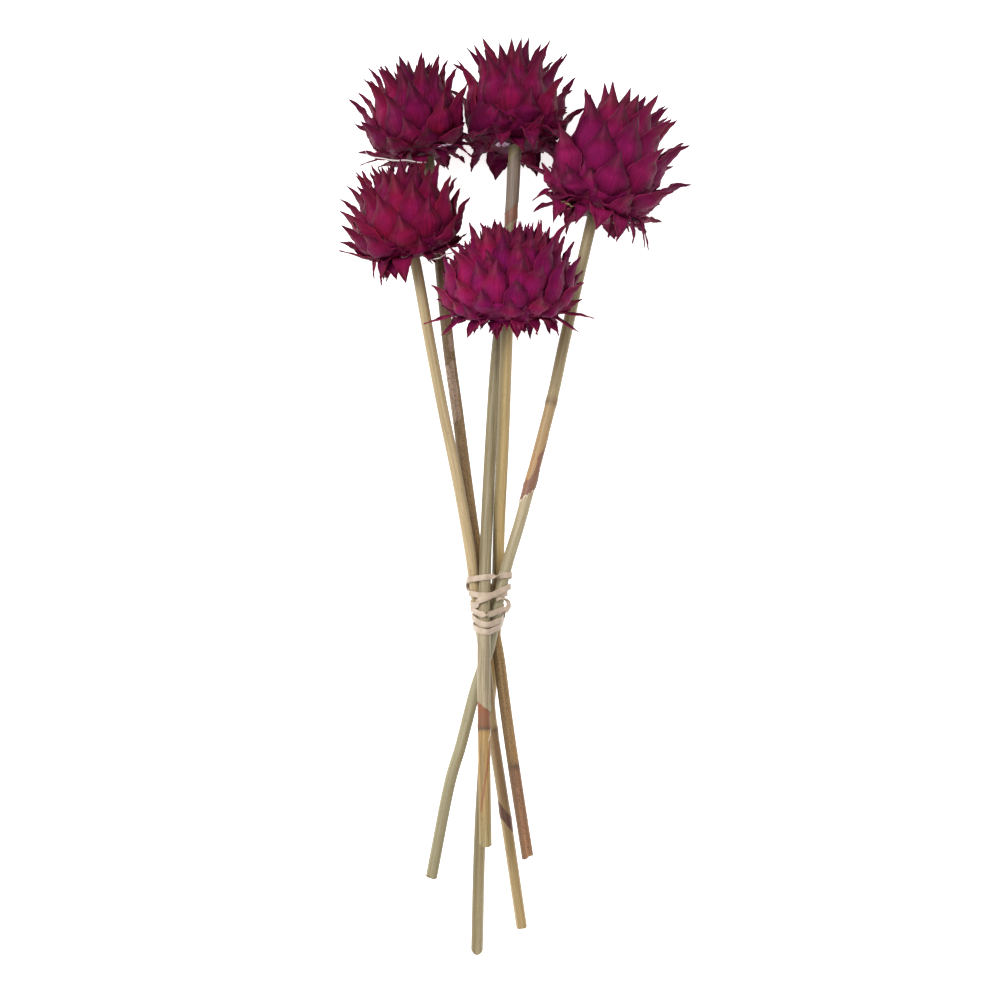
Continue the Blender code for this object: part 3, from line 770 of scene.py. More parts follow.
def bract_blank(form: BractForm) -> bpy.types.Object:
    """Models one scale, flat and upright, from a grid.

    Args:
        form: which scale.

    Returns:
        An object with its root at y = 0, its tip at y = BLANK_LENGTH and its keel raised along z.
    """
    shape = form.value
    rows = len(shape.rows) - 1
    bpy.ops.mesh.primitive_grid_add(x_subdivisions=COLUMNS, y_subdivisions=rows, size=2, calc_uvs=True)
    blank = bpy.context.object
    blank.name = f"blank_{form.name.lower()}"
    for column in range(COLUMNS + 1):
        x = -1 + 2 * column / COLUMNS
        height = -x * x if x else KEEL_RISE
        edit(blank, Pick.VERTS, lambda vert: abs(vert.co.x - x) < TINY)
        bpy.ops.transform.translate(value=(0, 0, height))
    for row, (station, half_width) in enumerate(shape.rows):
        y = -1 + 2 * row / rows
        arch = shape.spine_arch if station > SPINE_FROM else shape.arch
        edit(blank, Pick.VERTS, lambda vert: abs(vert.co.y - y) < TINY)
        bpy.ops.transform.resize(value=(half_width, 1, half_width * arch), center_override=(0, y, 0))
        bpy.ops.transform.translate(value=(0, 2 + 2 * station - y, 0))
    edit(blank, Pick.VERTS, lambda vert: True)
    bpy.ops.transform.translate(value=(0, -2, 0))
    bpy.ops.transform.resize(value=(BLANK_HALF_WIDTH, BLANK_LENGTH / 2, BLANK_HALF_WIDTH),
                             center_override=(0, 0, 0))
    modify(blank, "SUBSURF", levels=1, render_levels=1)
    return blank


BASE_POLAR = math.radians(162)            # where the core ends at the stem, as an angle from the tip
FIRST_POLAR = math.radians(158)           # root of the lowest bract
LAST_POLAR = math.radians(14)             # root of the innermost bract
SHOULDER = 2.7                            # exponent of the core's upper outline, where 2 is an ellipse
NEAR_AXIS = 0.01                          # share of the core's radius that counts as on the axis
LAYER = 3.5 * MM                          # from the bracts' roots to the closed bracts' surface
CORE_INSET = 2.2 * MM                     # from the level that the roots spring from down to the core
CORE_SEGMENTS = 24
CORE_RINGS = 16                           # hidden under the scales, so it has few faces
ROOT_DEPTH = 3.2 * MM                     # how far a bract's root is sunk from that level
MOST_INWARD = math.radians(-14)           # furthest that a bract leans in towards the axis
TURN_SHARE = 0.24                         # share of a bract's length over which its tip turns away
STATIONS = (0.0, 0.34, 0.52, 0.69, 1.0)   # where a solid bract is tested for what it touches
HALF_WIDTHS = (0.72, 1.0, 0.90, 0.38, 0.0)
CROWDING = 1.1                            # how much closer small bracts stand than large ones
ARCH = 0.30                               # how far a solid bract's edges lie under its keel
STEPS = 14                                # along a scale
POLAR_STEPS = 240                         # of the search for the roots' places
AZIMUTH_CHANCE = 0.09                     # these four are the most by which a scale strays, in radians
SWAY_CHANCE = 0.08                        # or as a share of its length
OPENING_CHANCE = 0.13
LENGTH_CHANCE = 0.08
CLOSING = tuple(math.radians(angle) for angle in (0, 8, 16, 24, 34, 46))  # how far it is bent in, by turns
SHORTENING = (1.0, 0.88, 0.76, 0.64)      # what is left of its length, by turns
STUNTED = (0.5, 0.38, 0.28)               # the same, where two heads press on each other
CLEAR_OF_STEM = 0.5 * MM
FLOOR_SINK = 4.0 * MM                     # how deep a scale may sink before it is pressed flat at the surface
# Polar angle of the root, heading of the tip from the head's axis, length and half-width as shares of
# the head's largest bract, the share of the length that hugs the core, and how steeply it leaves the
# core. Angles are in degrees.
BY_ROW = (
    (0, 0, 0.60, 0.64, 0.30, 10),
    (25, 8, 0.72, 0.76, 0.35, 11),
    (45, 15, 0.86, 0.88, 0.38, 13),
    (65, 22, 0.98, 0.98, 0.36, 16),
    (85, 29, 0.98, 1.00, 0.36, 19),
    (105, 36, 0.90, 1.00, 0.36, 23),
    (120, 44, 0.80, 0.98, 0.36, 26),
    (132, 53, 0.70, 0.92, 0.36, 27),
    (145, 66, 0.60, 0.84, 0.30, 28),
    (158, 92, 0.50, 0.70, 0.20, 30),
)


@dataclass
class Sprout:
    """One scale's place on its head."""

    line: list[tuple[float, float, float]]  # distance from the axis, along it, and heading, at even steps
    azimuth: float
    length: float
    half_width: float
    sway: float                           # sideways at the tip, as a share of the length
    form: BractForm
    tone: float                           # 0 is the darkest of the dye, 1 the brightest
    twist: float = 0.0                    # radians at the tip
    wave: float = 0.0                     # height of the edges' ripples, as a share of the half-width
    phase: float = 0.0
    ragged: float = 0.05                  # how uneven the edges are, as a share of the half-width
    tip_lift: float = 0.02                # how far the spine stands off, as a share of the length
    bulge: float = 0.10                   # of the body, as a share of the half-width
    crumple: float = 0.11                 # of its surface, as a share of the half-width


@dataclass(frozen=True)
class Flap:
    """A loose scale that hangs from the underside, listed one by one, in degrees and mm."""

    polar: float                          # of its root, from the head's tip
    azimuth: float                        # of its root: 0 is right, 90 is up
    heading: float                        # of its tip, from the head's axis
    length: float
    half_width: float
    twist: float                          # radians at the tip
    tone: float                           # 0 is the darkest of the dye, 1 the brightest
    form: BractForm = BractForm.FLAP
    rise: float = 1.2                     # off the core


@dataclass(frozen=True)
class Skin:
    """A narrow strip of dry skin that shows at the underside, from one place on the core to another."""

    azimuths: tuple[float, float]         # degrees
    polars: tuple[float, float]           # degrees
    rise: float                           # mm off the core
    width: float                          # mm
    finish: DryReed
    bend: float = 1.0                     # exponent of the way from one polar to the other


@dataclass
class FlowerHead:
    """A squat core with overlapping scales on a golden-angle spiral, in mm and degrees."""

    name: str
    slot: str
    finish: DyedBract
    base: tuple                           # where the core starts
    lean: float                           # of its axis, from +Y towards +X
    pitch: float                          # of its axis, up from the surface
    turn: float                           # of the first scale round the axis
    radius: float                         # of the closed scales
    low: float                            # from the base to where it is widest
    high: float                           # of the core above that
    bracts: int                           # on the spiral
    length: float                         # of its largest scale
    half_width: float                     # of its largest scale
    spread: float                         # added to the heading of every tip on the spiral
    seed: int
    form: BractForm
    ruff_count: int
    torn_crown: float = 0.0               # share of the topmost scales that are torn strips
    unruly: float = 1.0                   # how much its scales stray, for a head of the plainest kind 1
    flaps: tuple[Flap, ...] = ()
    skins: tuple[Skin, ...] = ()
    walls: list = field(default_factory=list)

    def __post_init__(self) -> None:
        """Works out the axis and the core's sizes in metres."""
        lean = math.radians(self.lean)
        pitch = math.radians(self.pitch)
        self.axis = Vector((
            math.sin(lean) * math.cos(pitch), math.cos(lean) * math.cos(pitch), math.sin(pitch),
        ))
        self.right = self.axis.cross(Vector((0, 0, 1))).normalized()
        self.up = self.right.cross(self.axis)
        self.origin = place(self.base)
        self.widest = self.low * MM
        self.middle = self.origin + self.axis * self.widest
        self.core_radius = self.radius * MM - LAYER
        self.core_low = self.low * MM / -math.cos(BASE_POLAR)
        self.core_high = self.high * MM

    def core_point(self, polar: float) -> tuple[float, float]:
        """Distance from the axis and along it, on the core's surface."""
        out = math.sin(polar)
        along = math.cos(polar)
        if along < 0:
            return self.core_radius * out, self.widest + self.core_low * along
        power = 2 / SHOULDER
        return self.core_radius * out**power, self.widest + self.core_high * along**power

    def surface_heading(self, out: float, along: float) -> float:
        """Heading from the axis of the core's surface, towards the tip, level with a point near it."""
        out = max(out / self.core_radius, NEAR_AXIS)
        if along < self.widest:
            along = (along - self.widest) / self.core_low
            return math.atan2(-self.core_radius * along, self.core_low * out)
        along = (along - self.widest) / self.core_high
        power = SHOULDER - 1
        return math.atan2(-self.core_radius * along**power, self.core_high * out**power)

    def midline(
        self, polar: float, length: float, tip_heading: float, hug_share: float, lift: float,
        rise: float = 0.0,
    ) -> list[tuple[float, float, float]]:
        """Follows a scale from its root over the core and out to its tip.

        Args:
            polar: angle of the root from the head's tip.
            length: of the scale.
            tip_heading: where the tip points, from the axis.
            hug_share: share of the length that follows the core.
            lift: how steeply it leaves the core.
            rise: how far off the core's level it starts.

        Returns:
            Distance from the axis, distance along it and heading, at even steps.
        """
        out, along = self.core_point(polar)
        heading = self.surface_heading(out, along)
        out += (rise - ROOT_DEPTH) * math.cos(heading)
        along -= (rise - ROOT_DEPTH) * math.sin(heading)
        line = []
        for step in range(STEPS + 1):
            hug = max(self.surface_heading(out, along) + lift, MOST_INWARD)
            off = min(1.0, max(0.0, (step / STEPS - hug_share) / TURN_SHARE))
            off = off * off * (3 - 2 * off)
            heading = hug + (tip_heading - hug) * off
            line.append((out, along, heading))
            out += length / STEPS * math.sin(heading)
            along += length / STEPS * math.cos(heading)
        return line

    def touched(self, sprout: Sprout) -> list[Vector]:
        """The places where a solid bract is tested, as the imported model's are."""
        outward = self.right * math.cos(sprout.azimuth) + self.up * math.sin(sprout.azimuth)
        sideways = self.axis.cross(outward)
        rows = []
        for station, share in zip(STATIONS, HALF_WIDTHS):
            out, along, heading = sprout.line[round(station * STEPS)]
            middle = self.origin + outward * out + self.axis * along
            middle += sideways * sprout.sway * sprout.length * station**2
            normal = outward * math.cos(heading) - self.axis * math.sin(heading)
            width = sprout.half_width * share
            edge = middle - normal * ARCH * width
            rows.append((edge - sideways * width, middle, edge + sideways * width))
        points = [point for row in rows for point in row]
        points += [a.lerp(b, 0.5) for low, high in zip(rows, rows[1:]) for a, b in zip(low, high)]
        return points

    def fits(self, points: Sequence[Vector], reeds: Sequence[Reed]) -> bool:
        """Whether these places clear the surface, the neighbouring heads and every stem."""
        if min(point.z for point in points) < -FLOOR_SINK:
            return False
        for at, normal in self.walls:
            if max((point - at).dot(normal) for point in points) > -GAP:
                return False
        for reed in reeds:
            if min(reed.distance(point) for point in points) < reed.radius * MM + CLEAR_OF_STEM:
                return False
        return True

    def roots(self) -> list[float]:
        """The polar angle of each scale's root, close together where the scales are small."""
        reached = [0.0]
        span = LAST_POLAR - FIRST_POLAR
        polars = [FIRST_POLAR + span * i / POLAR_STEPS for i in range(POLAR_STEPS + 1)]
        for a, b in zip(polars, polars[1:]):
            polar = (a + b) / 2
            out_a, along_a = self.core_point(a)
            out_b, along_b = self.core_point(b)
            width_share = between(BY_ROW, math.degrees(polar))[2]
            area = self.core_point(polar)[0] * math.hypot(out_b - out_a, along_b - along_a)
            reached.append(reached[-1] + area / width_share**CROWDING)
        found = []
        for index in range(self.bracts):
            wanted = reached[-1] * (index + 0.5) / self.bracts
            at = next(i for i, value in enumerate(reached) if value >= wanted)
            found.append(polars[at])
        return found

    def grown(self, polar: float, azimuth: float, opening: float, sway: float, reeds: Sequence[Reed],
              chance: random.Random) -> Sprout | None:
        """A scale as it grows, or bent towards the axis and shortened until it is clear of the rest.

        Args:
            polar: angle of the root from the head's tip.
            azimuth: angle of the root round the axis.
            opening: added to the tip's heading.
            sway: sideways curve, as a share of the length.
            reeds: the stems to stay clear of.
            chance: what the scale's own small differences are drawn from.

        Returns:
            The scale's place, or nothing where no bend clears the rest.
        """
        heading, length_share, width_share, hug_share, lift = between(BY_ROW, math.degrees(polar))
        low = math.degrees(polar) > LOW_POLAR
        crown = math.degrees(polar) < CROWN_POLAR
        form = self.form
        drawn = chance.random()
        if low and drawn < LOOSE_SHARE:
            form = BractForm.FLAP
        if crown and drawn < self.torn_crown:
            form = BractForm.TORN
        loose = LOOSENESS if low else 1.0
        sprout = Sprout(
            line=[], azimuth=azimuth, length=0, half_width=self.half_width * MM * width_share, sway=sway,
            form=form, tone=chance.random() * (0.75 if low else 1.0),
            twist=chance.uniform(-0.15, 0.15) * loose * self.unruly,
            wave=chance.uniform(0.01, 0.05) * loose * self.unruly,
            phase=chance.uniform(0, 2 * math.pi), ragged=0.022 * loose * self.unruly,
        )
        length_share *= 1 + chance.uniform(-LENGTH_CHANCE, LENGTH_CHANCE) * self.unruly
        heading = self.nearer(heading, polar, azimuth)
        trials = [(closing, shorter) for closing in CLOSING for shorter in SHORTENING]
        trials += [(CLOSING[-1], shorter) for shorter in STUNTED]
        for closing, shorter in trials:
            sprout.length = self.length * MM * length_share * shorter
            tip_heading = math.radians(heading + self.spread) - closing + opening
            sprout.line = self.midline(polar, sprout.length, tip_heading, hug_share, math.radians(lift))
            if self.fits(self.touched(sprout), reeds):
                return sprout
        return None

    def nearer(self, heading: float, polar: float, azimuth: float) -> float:
        """The heading of a tip, which the low scales that face up hold closer to the head.

        Args:
            heading: where the tip points, in degrees from the axis.
            polar: angle of the root from the head's tip.
            azimuth: angle of the root round the axis.

        Returns:
            The heading in degrees.
        """
        low = min(1.0, max(0.0, (math.degrees(polar) - HOLD_FROM) / HOLD_OVER))
        return heading * (1 - FRONT_HOLD * low * max(0.0, math.sin(azimuth)))

    def ruff(self, chance: random.Random) -> list[Sprout]:
        """The short loose scales round the underside, which overlie the large ones.

        Args:
            chance: what their places and forms are drawn from.

        Returns:
            Their places.
        """
        found = []
        for index in range(self.ruff_count):
            share = ((index + 0.5) / self.ruff_count) ** RUFF_CROWDING
            angle = RUFF[0][0] + (RUFF[-1][0] - RUFF[0][0]) * share
            polar = math.radians(angle)
            heading = math.radians(between(RUFF, angle)[0] + chance.uniform(*RUFF_STRAY))
            length = self.length * MM * chance.uniform(*RUFF_LENGTHS)
            half_width = self.half_width * MM * chance.uniform(*RUFF_HALF_WIDTHS)
            form = chance.choice((BractForm.FLAP, BractForm.FLAP, BractForm.BROAD, BractForm.TORN))
            rise = chance.uniform(*RUFF_RISES) * MM
            found.append(Sprout(
                line=self.midline(polar, length, heading, hug_share=0.12, lift=0.5, rise=rise),
                azimuth=index * GOLDEN_ANGLE + chance.uniform(-0.6, 0.6), length=length,
                half_width=half_width, sway=chance.uniform(-0.25, 0.25), form=form,
                tone=chance.uniform(0.0, 0.9), twist=chance.uniform(-1.2, 1.2),
                wave=chance.uniform(0.06, 0.25), phase=chance.uniform(0, 2 * math.pi), ragged=0.08,
            ))
        return found

    def shingled(self, chance: random.Random) -> list[Sprout]:
        """The small scales that lie close on the underside, beneath the large ones.

        Args:
            chance: what their small differences are drawn from.

        Returns:
            Their places.
        """
        found = []
        for ring, (angle, count) in enumerate(SHINGLES):
            polar = math.radians(angle)
            half_space = self.core_point(polar)[0] * math.pi / count
            for index in range(count):
                length = self.length * MM * chance.uniform(*SHINGLE_LENGTHS)
                azimuth = (index + ring / 2 + chance.uniform(-0.2, 0.2)) * 2 * math.pi / count
                heading = math.radians(chance.uniform(*SHINGLE_HEADINGS))
                lift = math.radians(chance.uniform(*SHINGLE_LIFTS))
                found.append(Sprout(
                    line=self.midline(polar, length, heading, hug_share=0.75, lift=lift),
                    azimuth=azimuth, length=length,
                    half_width=half_space * SHINGLE_OVERLAP + SHINGLE_EXTRA, sway=chance.uniform(-0.1, 0.1),
                    form=BractForm.BROAD, tone=chance.uniform(0.0, 0.7), twist=chance.uniform(-0.3, 0.3),
                    wave=chance.uniform(0.04, 0.14), phase=chance.uniform(0, 2 * math.pi), ragged=0.05,
                ))
        return found

    def bud(self, chance: random.Random) -> list[Sprout]:
        """The innermost scales, which close over the middle of the crown.

        Args:
            chance: what their small differences are drawn from.

        Returns:
            Their places.
        """
        found = []
        for angle, count in BUD:
            for index in range(count):
                length = self.length * MM * chance.uniform(*BUD_LENGTHS)
                heading = chance.uniform(*BUD_HEADINGS)
                # The ring's own angle turns it from the next ring
                azimuth = (index + chance.uniform(-0.2, 0.2)) * 2 * math.pi / count + angle
                found.append(Sprout(
                    line=self.midline(math.radians(angle), length, heading, hug_share=0.1, lift=0.0),
                    azimuth=azimuth, length=length, half_width=self.half_width * MM * BUD_HALF_WIDTH,
                    sway=chance.uniform(-0.08, 0.08), form=BractForm.BROAD, tone=chance.uniform(0.0, 0.5),
                    twist=chance.uniform(-0.2, 0.2), wave=0.05, phase=chance.uniform(0, 2 * math.pi),
                ))
        return found

    def hung(self, flap: Flap, phase: float) -> Sprout:
        """The place of one listed flap.

        Args:
            flap: where it hangs.
            phase: what sets its ripples apart from the next one's.

        Returns:
            Its place as a scale.
        """
        length = flap.length * MM
        line = self.midline(math.radians(flap.polar), length, math.radians(flap.heading), hug_share=0.1,
                            lift=0.4, rise=flap.rise * MM)
        return Sprout(
            line=line, azimuth=math.radians(flap.azimuth), length=length, half_width=flap.half_width * MM,
            sway=0.0, form=flap.form, tone=flap.tone, twist=flap.twist, wave=0.10, phase=phase, ragged=0.04,
        )

    def lay(self, blank: bpy.types.Object, sprout: Sprout) -> bpy.types.Object:
        """Copies a flat scale and bends it into its place.

        Args:
            blank: the flat scale.
            sprout: its place and its own differences.

        Returns:
            The copy, with its own mesh and its tone.
        """
        leaf = own_copy(blank, "bract")
        outward = self.right * math.cos(sprout.azimuth) + self.up * math.sin(sprout.azimuth)
        sideways = self.axis.cross(outward)
        wide = sprout.half_width / BLANK_HALF_WIDTH
        tear = TEAR if sprout.form is BractForm.TORN else 0.0
        for vert in leaf.data.vertices:
            share = min(1.0, max(0.0, vert.co.y / BLANK_LENGTH))
            widest_here = BLANK_HALF_WIDTH * between(sprout.form.value.rows, share)[0]
            from_keel = min(1.0, abs(vert.co.x) / widest_here)
            share -= tear * share**3 * (0.5 + 0.5 * math.sin(TEETH * vert.co.x + 3 * sprout.phase))
            at = min(share * STEPS, STEPS - TINY)
            low = sprout.line[int(at)]
            high = sprout.line[int(at) + 1]
            out, along, heading = (a + (b - a) * (at - int(at)) for a, b in zip(low, high))
            normal = outward * math.cos(heading) - self.axis * math.sin(heading)
            turned = sprout.twist * share**2
            x = vert.co.x * wide
            z = vert.co.z * wide
            side = x > 0
            ripple = math.sin(RIPPLES * share + sprout.phase + 2 * side)
            notches = math.sin(COARSE_NOTCHES * share + 5 * sprout.phase + 3 * side)
            notches += FINE_NOTCH_SHARE * math.sin(FINE_NOTCHES * share + 9 * sprout.phase + 5 * side)
            x *= 1 + sprout.ragged * from_keel**3 * notches
            z += sprout.wave * sprout.half_width * from_keel * ripple
            z += sprout.bulge * sprout.half_width * math.sin(math.pi * min(1.0, share / SPINE_FROM))
            spot = Vector((vert.co.x, vert.co.y, 10 * MM * sprout.phase)) / CRUMPLE_SIZE
            z += sprout.crumple * sprout.half_width * noise.noise(spot)
            z += sprout.tip_lift * sprout.length * max(0.0, (share - LIFT_FROM) / (1 - LIFT_FROM)) ** 2
            across = x * math.cos(turned) - z * math.sin(turned)
            height = x * math.sin(turned) + z * math.cos(turned)
            across += sprout.sway * sprout.length * share**2
            vert.co = self.origin + outward * out + self.axis * along + sideways * across + normal * height
        tone = leaf.data.attributes.new("tone", "FLOAT", "POINT")
        for value in tone.data:
            value.value = sprout.tone
        return leaf

    def strip(self, skin: Skin) -> bpy.types.Object:
        """Lays one strip of dry skin, from a grid.

        Args:
            skin: where it lies.

        Returns:
            The finished strip.
        """
        bpy.ops.mesh.primitive_grid_add(x_subdivisions=SKIN_STEPS, y_subdivisions=2, size=2, calc_uvs=True)
        made = bpy.context.object
        for vert in made.data.vertices:
            share = (vert.co.x + 1) / 2
            azimuth, polar = (
                math.radians(start + (end - start) * share**bend)
                for (start, end), bend in ((skin.azimuths, 1), (skin.polars, skin.bend))
            )
            out, along = self.core_point(polar)
            heading = self.surface_heading(out, along)
            taper = SKIN_END + (1 - SKIN_END) * math.sin(math.pi * share)
            half = skin.width / 2 * MM * vert.co.y * taper
            rise = (skin.rise + SKIN_WAVES[1] * math.sin(SKIN_WAVES[0] * share)) * MM
            out += rise * math.cos(heading) + half * math.sin(heading)
            along += half * math.cos(heading) - rise * math.sin(heading)
            outward = self.right * math.cos(azimuth) + self.up * math.sin(azimuth)
            vert.co = self.origin + outward * out + self.axis * along
        made.data.materials.append(skin.finish.material())
        modify(made, "SOLIDIFY", thickness=SKIN_THICKNESS, offset=0)
        return made

    def core(self) -> bpy.types.Object:
        """The solid middle: a globe drawn in below to the core's own height, and given shoulders above."""
        bpy.ops.mesh.primitive_uv_sphere_add(
            segments=CORE_SEGMENTS, ring_count=CORE_RINGS, radius=1, calc_uvs=True
        )
        globe = bpy.context.object
        lowest = math.cos(BASE_POLAR)
        power = 2 / SHOULDER
        for vert in globe.data.vertices:
            along = max(vert.co.z, lowest)
            half = (self.core_high if along > 0 else self.core_low) - CORE_INSET
            across = vert.co.xy * (self.core_radius - CORE_INSET)
            if along > 0:
                along = along**power
                across *= max(vert.co.xy.length, NEAR_AXIS) ** (power - 1)
            vert.co = (
                self.origin + self.right * across.x + self.up * across.y
                + self.axis * (self.widest + half * along)
            )
        # Tone 0, the darkest: painted shade, for the core shows only in the gaps between the scales
        globe.data.attributes.new("tone", "FLOAT", "POINT")
        return globe

    def build(self, blanks: dict[BractForm, bpy.types.Object], reeds: Sequence[Reed]) -> bpy.types.Object:
        """Grows the head.

        Args:
            blanks: the flat scale of each form.
            reeds: the stems to stay clear of.

        Returns:
            The finished piece.
        """
        chance = random.Random(self.seed)
        details = random.Random(self.seed + 1)
        sprouts = []
        for index, polar in enumerate(self.roots()):
            azimuth = math.radians(self.turn) + index * GOLDEN_ANGLE
            azimuth += chance.uniform(-AZIMUTH_CHANCE, AZIMUTH_CHANCE)
            sway = chance.uniform(-SWAY_CHANCE, SWAY_CHANCE) * self.unruly
            opening = chance.uniform(-OPENING_CHANCE, OPENING_CHANCE) * self.unruly
            sprout = self.grown(polar, azimuth, opening, sway, reeds, details)
            if sprout:
                sprouts.append(sprout)
        small = [*self.shingled(details), *self.ruff(details)]
        sprouts += [sprout for sprout in small if self.fits(self.touched(sprout), reeds)]
        sprouts += [self.hung(flap, details.uniform(0, 2 * math.pi)) for flap in self.flaps]
        sprouts += [sprout for sprout in self.bud(details) if self.fits(self.touched(sprout), reeds)]
        head = joined([self.lay(blanks[sprout.form], sprout) for sprout in sprouts], self.name)
        modify(head, "SOLIDIFY", thickness=BRACT_THICKNESS, offset=-1)
        head = joined([head, self.core()], self.name)
        for vert in head.data.vertices:
            vert.co.z = max(vert.co.z, 0.0)
        head.data.materials.clear()
        head.data.materials.append(self.finish.material())
        head = joined([head, *(self.strip(skin) for skin in self.skins)], self.name)
        only(head)
        bpy.ops.object.shade_smooth()
        return head


@dataclass(frozen=True)
class Wall:
    """The plane at which two neighbouring heads press on each other."""

    lower: str
    upper: str
    tilt: float                           # degrees that the upper one leans over the lower one


WALLS = (
    Wall("top", "upper_left", 30),
    Wall("top", "right", 25),
    Wall("left", "centre", 12),
    Wall("upper_left", "left", 28),
)


def press_walls(heads: dict[str, FlowerHead]) -> None:
    """Sets the plane between each pair of heads that touch, a share of the way by their radii."""
    for wall in WALLS:
        lower = heads[wall.lower]
        upper = heads[wall.upper]
        across = lower.middle - upper.middle
        flat = Vector((across.x, across.y, 0)).normalized()
        tilt = math.radians(wall.tilt)
        normal = flat * math.cos(tilt) - Vector((0, 0, 1)) * math.sin(tilt)
        at = upper.middle + across * upper.radius / (upper.radius + lower.radius)
        upper.walls.append((at, normal))
        lower.walls.append((at, -normal))


@dataclass(frozen=True)
class Strand:
    """One pass of the band over the side that faces up, in mm."""

    left: float                           # y at the left edge
    middle: float
    right: float
    over: float = 0.0                     # how far it rides over the one before it
    twist: float = 0.0                    # share of the way across where it turns over, or 0


@dataclass
class RubberBand:
    """One flat loop, wound six times round the stems, in mm."""

    name: str = "rubber_band"
    slot: str = "rubber_tan"
    finish: NaturalRubber = NaturalRubber()
    width: float = 3.4
    thickness: float = 0.7
    gap: float = 0.75                     # from the stems to the middle of the band's thickness
    step: float = math.radians(7.5)
    spacing: float = 0.9
    twist_share: float = 0.2              # share of the way across over which it turns over
    last_ride: float = 1.5
    held_up: float = 0.75                 # share of the way across up to which a strand rides over another
    edge: float = 0.18                    # width of its rounded edges
    narrowing: float = 0.45               # share of its width that it loses where it stands on edge
    standing_off: float = 0.9             # how far it stands off there
    slack_steps: int = 4                  # between two places of the slack loop
    # The slack loop over the last stem: x and y in mm, height over that stem's centre in mm, degrees that
    # it leans to the right, and how far it has turned over, in radians.
    slack_route: tuple = (
        (-2.4, -58.6, 5.0, 5, 0.5), (0.2, -57.8, 5.6, 10, 1.1), (2.6, -58.2, 5.2, 25, 1.8),
        (4.4, -60.0, 4.0, 50, 2.4), (5.0, -62.6, 3.4, 55, 2.9), (3.8, -64.6, 4.2, 40, 3.1),
        (2.4, -65.4, 4.6, 30, 3.14),
    )
    strands: tuple[Strand, ...] = (
        Strand(-47.2, -45.2, -44.2, twist=0.66),
        Strand(-55.2, -56.2, -55.0),
        Strand(-62.2, -57.0, -51.0, over=1.4),
        Strand(-64.4, -67.6, -63.6, twist=0.46),
        Strand(-69.6, -73.4, -69.4),
        Strand(-74.6, -77.6, -72.8),
    )

    def resting(self, reeds: Sequence[Reed], y: float, angle: float, over: float) -> Vector:
        """Where the band lies on the stems at this y, on the side that faces this way."""
        facing = Vector((math.cos(angle), 0, math.sin(angle)))
        reach = []
        for reed in reeds:
            centre = reed.centre_at(y)
            reach.append((centre.dot(facing) + reed.radius * MM, centre, reed.radius * MM))
        _, centre, radius = max(reach, key=lambda entry: entry[0])
        return centre + facing * (radius + self.gap * MM + over)

    def course(self, reeds: Sequence[Reed]) -> list[tuple[Vector, Vector, float]]:
        """Follows the band round all its turns.

        Args:
            reeds: the stems that it is wound round.

        Returns:
            At small steps its place, the way it faces and its progress, which rises by one on each side.
        """
        steps = round(math.pi / self.step)
        line = []
        for index, strand in enumerate(self.strands):
            following = self.strands[(index + 1) % len(self.strands)].left
            last = index == len(self.strands) - 1
            level = strand.middle * MM - MIDDLE.y
            first = self.resting(reeds, level, math.pi, 0).x
            width = self.resting(reeds, level, 0, 0).x - first
            for step in range(2 * steps):
                angle = math.pi - step * self.step
                facing = Vector((math.cos(angle), 0, math.sin(angle)))
                if step < steps:
                    share = (self.resting(reeds, level, angle, 0).x - first) / width
                    bow = 2 * strand.middle - (strand.left + strand.right) / 2
                    y = (1 - share) ** 2 * strand.left + 2 * share * (1 - share) * bow
                    y += share**2 * strand.right
                    ride = strand.over * math.sin(math.pi * min(share, self.held_up))
                else:
                    share = step / steps - 1
                    y = strand.right + (following - strand.right) * share
                    ride = strand.over * math.sin(math.pi * self.held_up) * (1 - share)
                    if last:
                        ride = self.last_ride * math.sin(math.pi * share) ** 0.5
                progress = 2 * index + share + (step >= steps)
                line.append((self.resting(reeds, y * MM - MIDDLE.y, angle, ride * MM), facing, progress))
        return line

    def evenly(self, line: list[tuple[Vector, Vector, float]]) -> list[tuple[Vector, Vector, float]]:
        """Reads the closed course at even distances, and smooths it along the stems.

        Args:
            line: its place, the way it faces and its progress at uneven steps.

        Returns:
            Its place, the way it faces and how far it has turned over, at even steps.
        """
        line = [*line, (*line[0][:2], 2.0 * len(self.strands))]
        found = []
        for (a, facing_a, from_here), (b, facing_b, to_there) in zip(line, line[1:]):
            count = max(1, round((b - a).length / (self.spacing * MM)))
            for index in range(count):
                share = index / count
                turned = 0.0
                for number, strand in enumerate(self.strands):
                    off = from_here + (to_there - from_here) * share - 2 * number - strand.twist
                    off = min(1.0, max(0.0, off / self.twist_share + 0.5))
                    turned += math.pi * off * off * (3 - 2 * off) * (strand.twist > 0)
                found.append((a.lerp(b, share), facing_a.lerp(facing_b, share).normalized(), turned))
        count = len(found)
        for index, (at, facing, turned) in enumerate(found):
            near = [found[(index + off) % count][0].y for off in range(-2, 3)]
            found[index] = (Vector((at.x, sum(near) / len(near), at.z)), facing, turned)
        return found

